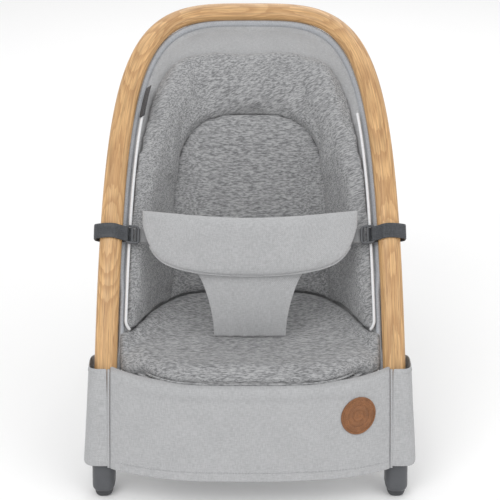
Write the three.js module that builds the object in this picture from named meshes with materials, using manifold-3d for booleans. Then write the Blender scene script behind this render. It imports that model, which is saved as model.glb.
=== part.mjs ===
// A folding baby bouncer seat: a bentwood arch on two front feet, a steel leg hinged behind it,
// and a fabric seat, pads and waist restraint hung inside the arch.
// Millimetres, +X to the sitter's left, +Y to the back, +Z up, origin under the middle of the whole seat.
import * as THREE from 'three';
import { mergeVertices } from 'three/addons/utils/BufferGeometryUtils.js';
import Module from 'manifold-3d';

const wasm = await Module();
wasm.setup();

// ---------------------------------------------------------------- driving dimensions
const GAP = 0.3;                    // clearance between pieces that touch

const ARCH_FOOT = { y: 12, z: 20 }; // lower end of the arch's centre line
const ARCH_TOP = { y: 456, z: 515 };
const ARCH_BEND = 50;               // how far the side profile turns, in degrees
const ARCH_HALF_WIDTH = 187.5;
const ARCH_TAPER = 0.021;           // half-width lost per millimetre up the arch
const ARCH_SHOULDER = 5.7;          // exponents of the rounded head of the arch
const ARCH_CROWN = 3.7;
const ARCH_WIDE = 14.5;             // oval section, half size across the arch
const ARCH_DEEP = 10;               // oval section, half size front to back

const RIM_ROD_R = 3.5;
const RIM_INSET = 18.2;             // rim rod's distance inside the arch's centre line
const RIM_DEPTH = 13;               // and behind it
const SHELL_INSET = 24.5;           // edge of the seat fabric
const SHELL_THICK = 3;

const HUB_AT = 205;                 // distance of the hinge up the arch
const HUB_DEPTH = 34;               // hinge axis behind the arch's centre line
const HUB_R = 20;
const BARREL_R = 19;
const LEG_R = 8;
const LEG_LENGTH = 500;
const LEG_CLEAR_OF_FLOOR = 14;      // height of the rear crossbar's axis
const BUTTON_TRAVEL = 3;

const HEM_Z = 44;                   // lower edge of the skirt
const SKIRT_TOP_Z = 158;
const SKIRT_BULGE = 38;
const SEAM_X = 178;                 // seam between the skirt's front and its side sleeves

const BELT_AT = 320;                // distance of the belt loops up the arch
const BELT_WIDE = 20;
const FLAP_HALF = 138;
const STRAP_ROOT = { y: 119, z: 172 };

const BODY_CENTRE_Y = 283.8;          // middle of the whole seat, front to back, from the front feet

// ---------------------------------------------------------------- finishes
const finish = (color, roughness, metalness = 0) => ({ color, roughness, metalness });
const OAK = finish(0xcf9a57, 0.45);
const LIGHT_FABRIC = finish(0xb4b6b9, 0.9);
const HEATHER = finish(0x9c9da0, 0.92);
const PIPING = finish(0xe2e4e6, 0.8);
const DARK_PLASTIC = finish(0x4a4c50, 0.45);
const BLACK_RUBBER = finish(0x3a3c3f, 0.75);
const WEBBING = finish(0x26272a, 0.6);
const GREY_STEEL = finish(0x6c6f74, 0.35, 0.6);
const BRIGHT_STEEL = finish(0xb9bbbe, 0.3, 1);
const LEATHER = finish(0x8a5432, 0.6);

// ---------------------------------------------------------------- geometry helpers
const seat = new THREE.Group();
seat.position.y = -BODY_CENTRE_Y;

function add(name, geometry, look) {
  const material = new THREE.MeshStandardMaterial(look);
  const mesh = new THREE.Mesh(geometry, material);
  mesh.name = name;
  seat.add(mesh);
  return mesh;
}

const deg = THREE.MathUtils.degToRad;
const lerp = THREE.MathUtils.lerp;
const clamp = THREE.MathUtils.clamp;

function merged(geometry) {
  const bare = geometry.clone();
  bare.deleteAttribute('normal');
  bare.deleteAttribute('uv');
  return mergeVertices(bare, 1e-4);
}

// Moves every corner of a shape to where place(x, y, z) says.
function shaped(geometry, place) {
  const bare = merged(geometry);
  const corners = bare.attributes.position;
  for (let i = 0; i < corners.count; i++) {
    const spot = place(corners.getX(i), corners.getY(i), corners.getZ(i));
    corners.setXYZ(i, spot.x, spot.y, spot.z);
  }
  bare.computeVertexNormals();
  return bare;
}

function solid(geometry) {
  const bare = merged(geometry);
  const vertProperties = new Float32Array(bare.attributes.position.array);
  const triVerts = new Uint32Array(bare.index.array);
  return new wasm.Manifold(new wasm.Mesh({ numProp: 3, vertProperties, triVerts }));
}

function shapeOf(manifold) {
  const mesh = manifold.getMesh();
  const geometry = new THREE.BufferGeometry();
  geometry.setAttribute('position', new THREE.BufferAttribute(new Float32Array(mesh.vertProperties), 3));
  geometry.setIndex(new THREE.BufferAttribute(new Uint32Array(mesh.triVerts), 1));
  geometry.computeVertexNormals();
  return geometry;
}

function cut(body, ...tools) {
  return shapeOf(tools.reduce((left, tool) => left.subtract(solid(tool)), solid(body)));
}
const join = (...bodies) => shapeOf(bodies.map(solid).reduce((whole, next) => whole.add(next)));

// A cylinder along X, between two x places.
function pinAlongX(radius, from, to, y, z, sides = 24) {
  const pin = new THREE.CylinderGeometry(radius, radius, Math.abs(to - from), sides);
  pin.rotateZ(Math.PI / 2);
  pin.translate((from + to) / 2, y, z);
  return pin;
}

function block(wide, deep, high, x, y, z) {
  const box = new THREE.BoxGeometry(wide, deep, high);
  box.translate(x, y, z);
  return box;
}

// A closed bar of oval section along frames given by at(k), k from 0 to 1.
function bar(at, halfWide, halfDeep, steps, sides) {
  const straight = new THREE.CylinderGeometry(1, 1, 1, sides, steps);
  return shaped(straight, (x, y, z) => {
    const { point, side, normal } = at(y + 0.5);
    return point.clone().addScaledVector(side, x * halfWide).addScaledVector(normal, z * halfDeep);
  });
}

// A closed curved slab: at(u, v) is its back face, and thick(u, v) how far the front stands off it.
function slab(across, along, at, from, thick) {
  const flat = new THREE.BoxGeometry(2, 1, 1, across, along, 1);
  return shaped(flat, (x, y, z) => {
    const u = x;
    const v = y + 0.5;
    const lift = z > 0 ? thick(u, v) : from;
    return at(u, v).addScaledVector(normalOf(at, u, v), lift);
  });
}

function normalOf(at, u, v) {
  const step = 0.01;
  const across = at(Math.min(u + step, 1), v).sub(at(Math.max(u - step, -1), v));
  const along = at(u, Math.min(v + step, 1)).sub(at(u, Math.max(v - step, 0)));
  return across.cross(along).normalize();
}

// The height of a pad: full in the middle, thin at its edges.
const padHeight = (full, edge, sharp = 6) => (u, v) => {
  const middle = (1 - Math.abs(u) ** sharp) * (1 - Math.abs(2 * v - 1) ** sharp);
  return edge + (full - edge) * Math.max(middle, 0) ** 0.4;
};

// ---------------------------------------------------------------- the arch's line
const chord = Math.hypot(ARCH_TOP.y - ARCH_FOOT.y, ARCH_TOP.z - ARCH_FOOT.z);
const chordAngle = Math.atan2(ARCH_TOP.z - ARCH_FOOT.z, ARCH_TOP.y - ARCH_FOOT.y);
const bend = deg(ARCH_BEND);
const archRadius = chord / (2 * Math.sin(bend / 2));
const archLength = archRadius * bend;
const startAngle = chordAngle + bend / 2;

// The arch's side profile s millimetres up from its foot, lift millimetres in front of its centre line.
function profile(s, lift = 0) {
  const angle = startAngle - s / archRadius;
  const y = ARCH_FOOT.y + archRadius * (Math.sin(startAngle) - Math.sin(angle)) - lift * Math.sin(angle);
  const z = ARCH_FOOT.z - archRadius * (Math.cos(startAngle) - Math.cos(angle)) + lift * Math.cos(angle);
  return { y, z, angle };
}

// Half-width of the arch's centre line, or of an outline inset from it.
function archHalfWidth(s, inset = 0) {
  const length = archLength - inset;
  const head = 1 - clamp(s / length, 0, 1) ** ARCH_SHOULDER;
  return (ARCH_HALF_WIDTH - inset - ARCH_TAPER * s) * head ** (1 / ARCH_CROWN);
}

// A point of the arch's outline, from its left end (turn 0) over the head (0.5) to its right end (1).
function outline(turn, inset = 0, lift = 0, start = 0) {
  const length = archLength - inset;
  const startSwing = Math.asin((start / length) ** (ARCH_SHOULDER / 2));
  const swing = lerp(startSwing, Math.PI - startSwing, turn);
  const s = length * Math.max(Math.sin(swing), 0) ** (2 / ARCH_SHOULDER);
  const reach = (ARCH_HALF_WIDTH - inset - ARCH_TAPER * s) * Math.abs(Math.cos(swing)) ** (2 / ARCH_CROWN);
  const { y, z, angle } = profile(s, lift);
  return { point: new THREE.Vector3(-Math.sign(Math.cos(swing)) * reach, y, z), angle };
}

// Evenly spaced frames along an outline.
function outlineFrames(inset, lift, start) {
  const fine = 1500;
  const spots = Array.from({ length: fine + 1 }, (_, i) => outline(i / fine, inset, lift, start));
  const runs = [0];
  for (let i = 1; i <= fine; i++) runs.push(runs[i - 1] + spots[i].point.distanceTo(spots[i - 1].point));
  return (k) => {
    const run = k * runs[fine];
    const next = clamp(runs.findIndex((r) => r >= run), 1, fine);
    const part = (run - runs[next - 1]) / (runs[next] - runs[next - 1]);
    const point = spots[next - 1].point.clone().lerp(spots[next].point, part);
    const angle = lerp(spots[next - 1].angle, spots[next].angle, part);
    const before = spots[Math.max(next - 5, 0)].point;
    const after = spots[Math.min(next + 4, fine)].point;
    const tangent = after.clone().sub(before).normalize();
    const normal = new THREE.Vector3(0, -Math.sin(angle), Math.cos(angle));
    normal.addScaledVector(tangent, -normal.dot(tangent)).normalize();
    return { point, tangent, normal, side: tangent.clone().cross(normal) };
  };
}

// Frames straight up one leg of the arch between two heights.
function legFrames(side, from, to) {
  return (k) => {
    const s = lerp(from, to, k);
    const { y, z, angle } = profile(s);
    const point = new THREE.Vector3(side * archHalfWidth(s), y, z);
    const normal = new THREE.Vector3(0, -Math.sin(angle), Math.cos(angle));
    const tangent = new THREE.Vector3(0, Math.cos(angle), Math.sin(angle));
    return { point, tangent, normal, side: tangent.clone().cross(normal) };
  };
}

// ---------------------------------------------------------------- frame: arch, feet, rails
const SIDES = [['left', -1], ['right', 1]];

const RAIL = { y: 30, z: 58, r: 7 };
const FOOT_HALF = ARCH_WIDE;
const footSide = [[-3, 10], [12, 66], [56, 66], [36, 10]];

function footHousing(side) {
  const outlineShape = new THREE.Shape(footSide.map(([y, z]) => new THREE.Vector2(y, z)));
  const round = 2;
  const body = new THREE.ExtrudeGeometry(outlineShape, {
    depth: 2 * (FOOT_HALF - round), bevelEnabled: true, bevelThickness: round, bevelSize: round,
    bevelOffset: -round, bevelSegments: 2,
  });
  // the shape's x and y become the foot's y and z
  const placed = shaped(body, (x, y, z) => {
    return new THREE.Vector3(side * ARCH_HALF_WIDTH + z - FOOT_HALF + round, x, y);
  });
  const socket = bar(legFrames(side, -1, 70), ARCH_WIDE - 1.5 + GAP, ARCH_DEEP - 1.5 + GAP, 2, 14);
  const plugHole = new THREE.CylinderGeometry(5 + GAP, 5 + GAP, 8, 16).rotateX(Math.PI / 2);
  plugHole.translate(side * ARCH_HALF_WIDTH, 18, 10);
  const boltHole = pinAlongX(3 + GAP, side * 160, side * 220, RAIL.y, RAIL.z, 12);
  return cut(placed, socket, plugHole, boltHole);
}

// The arch is turned down to a slimmer tenon where it sits in the foot.
const TENON_TOP = 54;
function arch() {
  const at = outlineFrames(0, 0, 0);
  const whole = bar(at, ARCH_WIDE, ARCH_DEEP, 54, 14);
  const tools = SIDES.flatMap(([, side]) => {
    const sleeve = bar(legFrames(side, -10, TENON_TOP), ARCH_WIDE * 1.4, ARCH_DEEP * 1.6, 2, 8);
    const tenon = bar(legFrames(side, -12, TENON_TOP + 2), ARCH_WIDE - 1.5, ARCH_DEEP - 1.5, 2, 14);
    const bolt = pinAlongX(3 + GAP, side * 150, side * 220, RAIL.y, RAIL.z, 12);
    const screws = SCREW_AT.map((up) => bracketScrew(side, up, 2.2, 2.2));
    return [cut(sleeve, tenon), bolt, ...screws];
  });
  return cut(whole, ...tools);
}

for (const [hand, side] of SIDES) {
  add(`foot_housing_${hand}`, footHousing(side), DARK_PLASTIC);

  // a soft pad with a flat sole, plugged into the housing
  const sole = new THREE.Shape();
  sole.moveTo(-7, 0);
  sole.lineTo(7, 0);
  sole.bezierCurveTo(10, 0, 12, 5, 12, 9.6);
  sole.lineTo(-12, 9.6);
  sole.bezierCurveTo(-12, 5, -10, 0, -7, 0);
  const pad = new THREE.ExtrudeGeometry(sole, { depth: 30, bevelEnabled: false, curveSegments: 5 });
  pad.rotateX(Math.PI / 2);
  pad.translate(side * ARCH_HALF_WIDTH, 33, 0);
  const plug = new THREE.CylinderGeometry(5, 5, 8, 16).rotateX(Math.PI / 2);
  plug.translate(side * ARCH_HALF_WIDTH, 18, 9);
  add(`foot_pad_${hand}`, join(pad, plug), BLACK_RUBBER);

  // the bolt that draws foot, arch and cross rail together
  const from = side * (ARCH_HALF_WIDTH + FOOT_HALF + GAP);
  const head = pinAlongX(5.5, from, from + side * 3, RAIL.y, RAIL.z, 6);
  const shank = pinAlongX(3, side * 164, from + side, RAIL.y, RAIL.z, 16);
  add(`rail_bolt_${hand}`, join(head, shank), BRIGHT_STEEL);
}

const railEnd = ARCH_HALF_WIDTH - FOOT_HALF - GAP;
const rail = pinAlongX(RAIL.r, -railEnd, railEnd, RAIL.y, RAIL.z, 16);
const railThreads = SIDES.map(([, side]) => pinAlongX(3 + GAP, side * 160, side * 180, RAIL.y, RAIL.z, 16));
add('front_cross_rail', cut(rail, ...railThreads), GREY_STEEL);

// the bowed rod that carries the front edge of the seat
const ROD_R = 6;
const ROD_AT = 126;
const rodEnd = profile(ROD_AT);
const rodReach = archHalfWidth(ROD_AT) - ARCH_WIDE - GAP - 0.4;
function rodFrames(k) {
  // level and square to the arch at its ends, bowed forwards between them
  const place = (t) => {
    const across = 2 * t - 1;
    const back = (1 - Math.cos(Math.PI * Math.min(Math.abs(across) / 0.96, 1) ** 4)) / 2;
    return new THREE.Vector3(rodReach * across, lerp(17, rodEnd.y, back), lerp(142, rodEnd.z, back));
  };
  const point = place(k);
  const tangent = place(Math.min(k + 0.01, 1)).sub(place(Math.max(k - 0.01, 0))).normalize();
  const normal = new THREE.Vector3(0, 0, 1).addScaledVector(tangent, -tangent.z).normalize();
  return { point, normal, side: tangent.clone().cross(normal) };
}
add('seat_front_rod', bar(rodFrames, ROD_R, ROD_R, 24, 8), GREY_STEEL);

// the thin rod that the seat fabric's hem is threaded on, and its clips behind the arch
const rimAt = outlineFrames(RIM_INSET, -RIM_DEPTH, 168);
add('rim_rod', bar(rimAt, RIM_ROD_R, RIM_ROD_R, 44, 6), BRIGHT_STEEL);

function rimClip(k) {
  const { point, tangent, normal, side } = rimAt(k);
  const hook = new THREE.Shape();
  const outer = RIM_ROD_R + 2.6;
  const inner = RIM_ROD_R + GAP;
  hook.absarc(0, 0, outer, Math.PI * 0.75, Math.PI * 1.6, false);
  hook.absarc(0, 0, inner, Math.PI * 1.6, Math.PI * 0.75, true);
  const ring = new THREE.ExtrudeGeometry(hook, { depth: 14, bevelEnabled: false, curveSegments: 4 });
  const plate = block(13, 3, 14, -inner - 7.5, RIM_DEPTH - ARCH_DEEP - GAP - 1.6, 7);
  const whole = join(ring, plate);
  // the clip's x runs inwards across the arch, y to its front and z along it
  return shaped(whole, (x, y, z) => point.clone()
    .addScaledVector(side, x).addScaledVector(normal, y).addScaledVector(tangent, -(z - 7)));
}
const CLIPS = [['lower_left', 0.09], ['upper_left', 0.3], ['upper_right', 0.7], ['lower_right', 0.91]];
for (const [where, k] of CLIPS) add(`rim_clip_${where}`, rimClip(k), DARK_PLASTIC);

// ---------------------------------------------------------------- hinges and rear leg
const hub = profile(HUB_AT, -HUB_DEPTH);
const hubX = archHalfWidth(HUB_AT);
const HUB_HALF = 8.5;
const EAR = 5;
const EAR_GAP = 0.4;
const PIN_R = 4;
const CAVITY_R = 13;
const GEAR_TEETH = 14;

// From the hinge's own front-and-up directions to a place in the side view.
const along = { y: Math.cos(hub.angle), z: Math.sin(hub.angle) };
const ahead = { y: -Math.sin(hub.angle), z: Math.cos(hub.angle) };
const fromHub = (up, front) => ({
  y: hub.y + up * along.y + front * ahead.y,
  z: hub.z + up * along.z + front * ahead.z,
});

// A plate in the hinge's plane, from an outline of [up, front] points, between two x places.
function hingePlate(points, from, to) {
  const flat = new THREE.Shape(points.map(([up, front]) => new THREE.Vector2(up, front)));
  const plate = new THREE.ExtrudeGeometry(flat, { depth: Math.abs(to - from), bevelEnabled: false });
  return shaped(plate, (up, front, z) => {
    const spot = fromHub(up, front);
    return new THREE.Vector3(Math.min(from, to) + z, spot.y, spot.z);
  });
}

const roundEar = [];
for (let i = 0; i <= 12; i++) {
  const turn = Math.PI * (1 + i / 12);
  roundEar.push([HUB_R * Math.cos(turn), HUB_R * Math.sin(turn)]);
}
const SADDLE_FRONT = HUB_DEPTH - ARCH_DEEP - 1.3;
const SADDLE_BACK = SADDLE_FRONT - 3;
const SCREW_AT = [-27, 27];
const earOutline = [...roundEar, [HUB_R, SADDLE_BACK + 1], [-HUB_R, SADDLE_BACK + 1]];

function hubBracket(side) {
  const outer = side * (hubX + HUB_HALF + EAR_GAP);
  const inner = side * (hubX - HUB_HALF - EAR_GAP);
  const outerEar = hingePlate(earOutline, outer, outer + side * EAR);
  const innerEar = hingePlate(earOutline, inner, inner - side * EAR);
  const end = 33;
  const saddleOutline = [[-end, SADDLE_BACK], [end, SADDLE_BACK], [end, SADDLE_FRONT], [-end, SADDLE_FRONT]];
  const saddle = hingePlate(saddleOutline, inner - side * EAR, outer + side * EAR);
  const buttonHole = pinAlongX(10 + EAR_GAP, outer - side, outer + side * (EAR + 1), hub.y, hub.z, 20);
  const pinHole = pinAlongX(PIN_R + EAR_GAP / 2, inner + side, inner - side * (EAR + 1), hub.y, hub.z, 16);
  const screwHoles = SCREW_AT.map((up) => bracketScrew(side, up, 2.2, 3.7));
  return cut(join(outerEar, innerEar, saddle), buttonHole, pinHole, ...screwHoles);
}

// A screw through the saddle into the back of the arch, its head behind the saddle.
function bracketScrew(side, up, shankR, headR) {
  const length = 10;
  const shank = new THREE.CylinderGeometry(shankR, shankR, length, 10);
  shank.translate(0, SADDLE_FRONT + length / 2 - 4, 0);
  const head = new THREE.CylinderGeometry(headR, headR, 1.6, 12);
  head.translate(0, SADDLE_BACK - 0.7, 0);
  return shaped(join(shank, head), (x, front, z) => {
    const spot = fromHub(up + z, front);
    return new THREE.Vector3(side * hubX - x, spot.y, spot.z);
  });
}

add('arch', arch(), OAK);

// The leg is bowed like the arch, so that it can lie close behind it when folded.
const legRadius = archRadius - HUB_DEPTH;
const legTurn = LEG_LENGTH / legRadius;
const foldedEnd = profile(HUB_AT + legTurn * archRadius, -HUB_DEPTH);
const legChord = Math.hypot(foldedEnd.y - hub.y, foldedEnd.z - hub.z);
const foldedSlope = Math.atan2(foldedEnd.z - hub.z, foldedEnd.y - hub.y);
const openSlope = Math.asin((LEG_CLEAR_OF_FLOOR - hub.z) / legChord);


function legPlace(run, lift = 0) {
  const folded = profile(HUB_AT + (run / legRadius) * archRadius, -HUB_DEPTH + lift);
  const turn = openSlope - foldedSlope;
  const y = folded.y - hub.y;
  const z = folded.z - hub.z;
  return {
    y: hub.y + y * Math.cos(turn) - z * Math.sin(turn),
    z: hub.z + y * Math.sin(turn) + z * Math.cos(turn),
    angle: folded.angle + turn,
  };
}

// Half-width of the leg: it narrows a little and turns in to the crossbar at its end.
const LEG_NARROWS = 0.03;
const LEG_CORNER = 50;
const LEG_START = 16;
function legTubeFrames(k) {
  const place = (t) => {
    const straight = LEG_LENGTH - LEG_CORNER - LEG_START;
    const endHalf = hubX - LEG_NARROWS * (LEG_LENGTH - LEG_CORNER) - LEG_CORNER;
    const quarter = (Math.PI / 2) * LEG_CORNER;
    const total = straight + quarter + endHalf;
    const hand = t < 0.5 ? -1 : 1;
    const gone = (0.5 - Math.abs(t - 0.5)) * 2 * total;
    if (gone < straight) {
      const run = LEG_START + gone;
      const { y, z } = legPlace(run);
      return new THREE.Vector3(hand * (hubX - LEG_NARROWS * run), y, z);
    }
    const turn = Math.min((gone - straight) / LEG_CORNER, Math.PI / 2);
    const run = LEG_LENGTH - LEG_CORNER + LEG_CORNER * Math.sin(turn);
    const { y, z } = legPlace(run);
    const past = Math.max(gone - straight - quarter, 0);
    const reach = endHalf + LEG_CORNER * Math.cos(turn) - past;
    return new THREE.Vector3(hand * reach, y, z);
  };
  const point = place(k);
  const tangent = place(Math.min(k + 0.004, 1)).sub(place(Math.max(k - 0.004, 0))).normalize();
  const { angle } = legPlace(LEG_LENGTH / 2);
  const normal = new THREE.Vector3(0, -Math.sin(angle), Math.cos(angle));
  normal.addScaledVector(tangent, -normal.dot(tangent)).normalize();
  return { point, normal, side: tangent.clone().cross(normal) };
}
add('rear_leg', bar(legTubeFrames, LEG_R, LEG_R, 44, 8), GREY_STEEL);

function legHub(side) {
  const barrel = pinAlongX(BARREL_R, side * (hubX - HUB_HALF), side * (hubX + HUB_HALF), hub.y, hub.z, 28);
  const start = legPlace(6);
  const neckEnd = legPlace(46);
  const neckFrames = (k) => {
    const point = new THREE.Vector3(side * hubX, lerp(start.y, neckEnd.y, k), lerp(start.z, neckEnd.z, k));
    const tangent = new THREE.Vector3(0, neckEnd.y - start.y, neckEnd.z - start.z).normalize();
    const normal = new THREE.Vector3(0, -tangent.z, tangent.y);
    return { point, normal, side: tangent.clone().cross(normal) };
  };
  const neck = bar(neckFrames, HUB_HALF, 11.5, 2, 16);
  const socketFrames = (k) => legTubeFrames(side < 0 ? k * 0.05 : 0.95 + k * 0.05);
  const socket = bar(socketFrames, LEG_R + 2 * GAP, LEG_R + 2 * GAP, 6, 8);
  const cavity = pinAlongX(CAVITY_R, side * (hubX - 4), side * (hubX + HUB_HALF + 1), hub.y, hub.z, 28);
  const bore = pinAlongX(PIN_R + 0.2, side * (hubX - 12), side * (hubX + 12), hub.y, hub.z, 16);
  return cut(join(barrel, neck), socket, cavity, bore);
}

function gearOutline(root, tip) {
  const flat = new THREE.Shape();
  for (let i = 0; i < GEAR_TEETH; i++) {
    const pitch = (2 * Math.PI) / GEAR_TEETH;
    for (const [radius, part] of [[root, 0.05], [root, 0.4], [tip, 0.55], [tip, 0.9]]) {
      const turn = (i + part) * pitch;
      const x = radius * Math.cos(turn);
      const y = radius * Math.sin(turn);
      if (i === 0 && part < 0.1) flat.moveTo(x, y);
      else flat.lineTo(x, y);
    }
  }
  flat.closePath();
  const hole = new THREE.Path();
  hole.absarc(0, 0, PIN_R + 0.6, 0, 2 * Math.PI, true);
  flat.holes.push(hole);
  return flat;
}

function alongX(geometry, side, x) {
  // a shape made along z, turned to lie along x from the given place outwards
  geometry.rotateY(side * Math.PI / 2);
  geometry.translate(x, hub.y, hub.z);
  return geometry;
}

function lathe(points, sides) {
  const profilePoints = points.map(([r, z]) => new THREE.Vector2(r, z));
  profilePoints.push(profilePoints[0].clone());
  return new THREE.LatheGeometry(profilePoints, sides).rotateX(Math.PI / 2);
}

for (const [hand, side] of SIDES) {
  add(`hub_bracket_${hand}`, hubBracket(side), DARK_PLASTIC);
  SCREW_AT.forEach((up, i) => {
    add(`bracket_screw_${hand}_${i ? 'upper' : 'lower'}`, bracketScrew(side, up, 1.9, 3.4), BRIGHT_STEEL);
  });
  add(`leg_hub_${hand}`, legHub(side), DARK_PLASTIC);

  const pinInner = side * (hubX - HUB_HALF - EAR_GAP - EAR - 1);
  const pinHead = pinAlongX(6.5, pinInner, pinInner - side * 1.8, hub.y, hub.z, 16);
  const pinShank = pinAlongX(PIN_R, pinInner - side, side * (hubX + 7.5), hub.y, hub.z, 16);
  add(`hinge_pin_${hand}`, join(pinHead, pinShank), BRIGHT_STEEL);

  const gear = new THREE.ExtrudeGeometry(gearOutline(9.6, 12.2), {
    depth: 4, bevelEnabled: false, curveSegments: 6,
  });
  add(`lock_gear_${hand}`, alongX(gear, side, side * (hubX + 3.2)), BRIGHT_STEEL);

  // the spring stands as a plain sleeve between the gear and the floor of the hub
  const spring = lathe([[5.6, 0], [7.4, 0], [7.4, 6.3], [5.6, 6.3]], 16);
  add(`lock_spring_${hand}`, alongX(spring, side, side * (hubX - 3.6)), BRIGHT_STEEL);

  // the button's stem reaches through the outer ear to the gear
  const bore = PIN_R + 0.6;
  const stem = [[bore, 0], [9.4, 0], [9.4, 6.8], [8.4, 8.2], [0.01, 8.2], [0.01, 4.2], [bore, 4.2]];
  add(`release_button_${hand}`, alongX(lathe(stem, 24), side, side * (hubX + 7.4)), DARK_PLASTIC);
}

// rubber feet gripping the rear crossbar
const REAR_FOOT_X = 98;
const barPlace = legPlace(LEG_LENGTH);
for (const [hand, side] of SIDES) {
  const shoe = new THREE.Shape();
  shoe.moveTo(-10, -LEG_CLEAR_OF_FLOOR);
  shoe.lineTo(10, -LEG_CLEAR_OF_FLOOR);
  shoe.lineTo(12, -LEG_CLEAR_OF_FLOOR + 3);
  shoe.lineTo(12, 0);
  shoe.absarc(0, 0, 12, 0, Math.PI, false);
  shoe.lineTo(-12, -LEG_CLEAR_OF_FLOOR + 3);
  const tube = new THREE.Path();
  tube.absarc(0, 0, LEG_R + GAP, 0, 2 * Math.PI, true);
  shoe.holes.push(tube);
  const sleeve = new THREE.ExtrudeGeometry(shoe, { depth: 34, bevelEnabled: false, curveSegments: 8 });
  const foot = shaped(sleeve, (y, z, x) => {
    return new THREE.Vector3(side * REAR_FOOT_X + x - 17, barPlace.y + y, barPlace.z + z);
  });
  add(`rear_foot_${hand}`, foot, BLACK_RUBBER);
}

// ---------------------------------------------------------------- the hung seat
// Stations from the front edge of the seat, through the crook, to the top of the back: the middle of
// the fabric in the side view, how far up the arch its edge is held, and how square the hollow is.
const STATIONS = [
  { y: 12, z: 155, held: 148, square: 4.5 },
  { y: 85, z: 147, held: 158, square: 4.5 },
  { y: 165, z: 147, held: 168, square: 4.5 },
  { y: 228, z: 160, held: 180, square: 4.6 },
  { y: 262, z: 200, held: 215, square: 4.6 },
  { y: 288, z: 258, held: 280, square: 4.3 },
  { y: 316, z: 330, held: 375, square: 4 },
  { y: 352, z: 406, held: 490, square: 3.7 },
  { y: 406, z: 467, held: 600, square: 3.2 },
  { ...profile(657, -RIM_DEPTH), held: 655, square: 2.8 },
];
const stationLine = new THREE.SplineCurve(STATIONS.map(({ y, z }) => new THREE.Vector2(y, z)));
const edges = STATIONS.map(({ held, square }) => new THREE.Vector2(held, square));
const stationEdge = new THREE.SplineCurve(edges);

// A point of the seat fabric's inner face: u from -1 to 1 across it, v from the front edge to the top.
function seatPoint(u, v) {
  const middle = stationLine.getPoint(v);
  const edge = stationEdge.getPoint(v);
  const held = profile(edge.x, -RIM_DEPTH);
  const rise = Math.abs(u) ** edge.y;
  const reach = archHalfWidth(edge.x, SHELL_INSET);
  return new THREE.Vector3(u * reach, lerp(middle.x, held.y, rise), lerp(middle.y, held.z, rise));
}

// The part of the seat fabric between two v places, drawn in from its sides by a margin.
const patch = (low, high, margin) => (u, v) => {
  const across = typeof margin === 'function' ? margin(v) : margin;
  return seatPoint(u * across, lerp(low, high, v));
};

add('seat_shell', slab(16, 20, seatPoint, -SHELL_THICK, () => 0), LIGHT_FABRIC);

const PAD_FLOAT = 2;                // clearance that coarse curved faces need
const seatPadHalf = (v) => 0.985 - 0.05 * (1 - clamp(v / 0.3, 0, 1)) ** 2.6;
const seatPad = patch(0.0, 0.368, seatPadHalf);
add('seat_pad', slab(16, 9, seatPad, PAD_FLOAT + 1.1, padHeight(19, 7)), HEATHER);

// The raised bolster runs up both sides of the back and over the head. Its outer and inner lines are
// given by a half-width, a top and how square the line is across and up.
const BOLSTER_LOW = 0.395;
const BOLSTER_OUTER = { half: 0.965, top: 0.882, across: 8, rise: 6 };
const BOLSTER_INNER = { half: 0.7, top: 0.765, across: 2.6, rise: 9 };
function bolsterPoint(a, b) {
  const swing = Math.PI * b;
  const line = ({ half, top, across, rise }) => ({
    u: -half * Math.sign(Math.cos(swing)) * Math.abs(Math.cos(swing)) ** (2 / across),
    v: lerp(BOLSTER_LOW, top, Math.max(Math.sin(swing), 0) ** (2 / rise)),
  });
  const outer = line(BOLSTER_OUTER);
  const inner = line(BOLSTER_INNER);
  const inwards = (a + 1) / 2;
  return seatPoint(lerp(outer.u, inner.u, inwards), lerp(outer.v, inner.v, inwards));
}
const bolsterHeight = padHeight(PAD_FLOAT + 20, PAD_FLOAT + 3);
add('head_bolster', slab(5, 32, bolsterPoint, PAD_FLOAT + 0.8, bolsterHeight), HEATHER);

// The back pad fills the space inside the bolster.
const BACK_PAD = { low: 0.392, top: 0.747, half: 0.665, blunt: 0.985 };
function backPad(u, v) {
  const up = v * BACK_PAD.blunt;
  const narrowed = (1 - up ** BOLSTER_INNER.rise) ** (1 / BOLSTER_INNER.across);
  return seatPoint(u * BACK_PAD.half * narrowed, lerp(BACK_PAD.low, BACK_PAD.top, up));
}
add('back_pad', slab(10, 12, backPad, PAD_FLOAT, padHeight(PAD_FLOAT + 7, 5)), HEATHER);

// piping sewn down both sides of the inlay
const PIPING_R = 1.8;
const PIPING_AT = 0.99;
for (const [hand, side] of SIDES) {
  const path = (k) => {
    const v = lerp(0.4, 0.775, k);
    const normal = normalOf(seatPoint, side * PIPING_AT, v);
    return { point: seatPoint(side * PIPING_AT, v).addScaledVector(normal, PIPING_R + 1.4), normal };
  };
  const frames = (k) => {
    const { point, normal } = path(k);
    const tangent = path(Math.min(k + 0.01, 1)).point.sub(path(Math.max(k - 0.01, 0)).point).normalize();
    normal.addScaledVector(tangent, -normal.dot(tangent)).normalize();
    return { point, normal, side: tangent.clone().cross(normal) };
  };
  add(`piping_${hand}`, bar(frames, PIPING_R, PIPING_R, 18, 6), PIPING);
}

// ---------------------------------------------------------------- skirt
const archFront = (z) => {
  const s = [...Array(400).keys()].find((i) => profile(i).z >= z);
  const { y, angle } = profile(s);
  return y - ARCH_DEEP / Math.sin(angle);
};
const CLOTH = 3;
const seamFront = (z) => archFront(z) - 8.5;        // outer face of the skirt at its side seams
const SKIRT_CENTRE = { low: -29, high: 1 };
function skirtPoint(u, v) {
  const z = lerp(HEM_Z, SKIRT_TOP_Z, v);
  const side = seamFront(z) + CLOTH;
  const middle = lerp(SKIRT_CENTRE.low, SKIRT_CENTRE.high, v ** 0.8) + CLOTH;
  const y = lerp(middle, Math.max(side, middle), Math.abs(u) ** 3.2);
  return new THREE.Vector3(u * (SEAM_X - GAP), y, z);
}
add('skirt_front', slab(16, 5, skirtPoint, 0, () => CLOTH), LIGHT_FABRIC);

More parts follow.
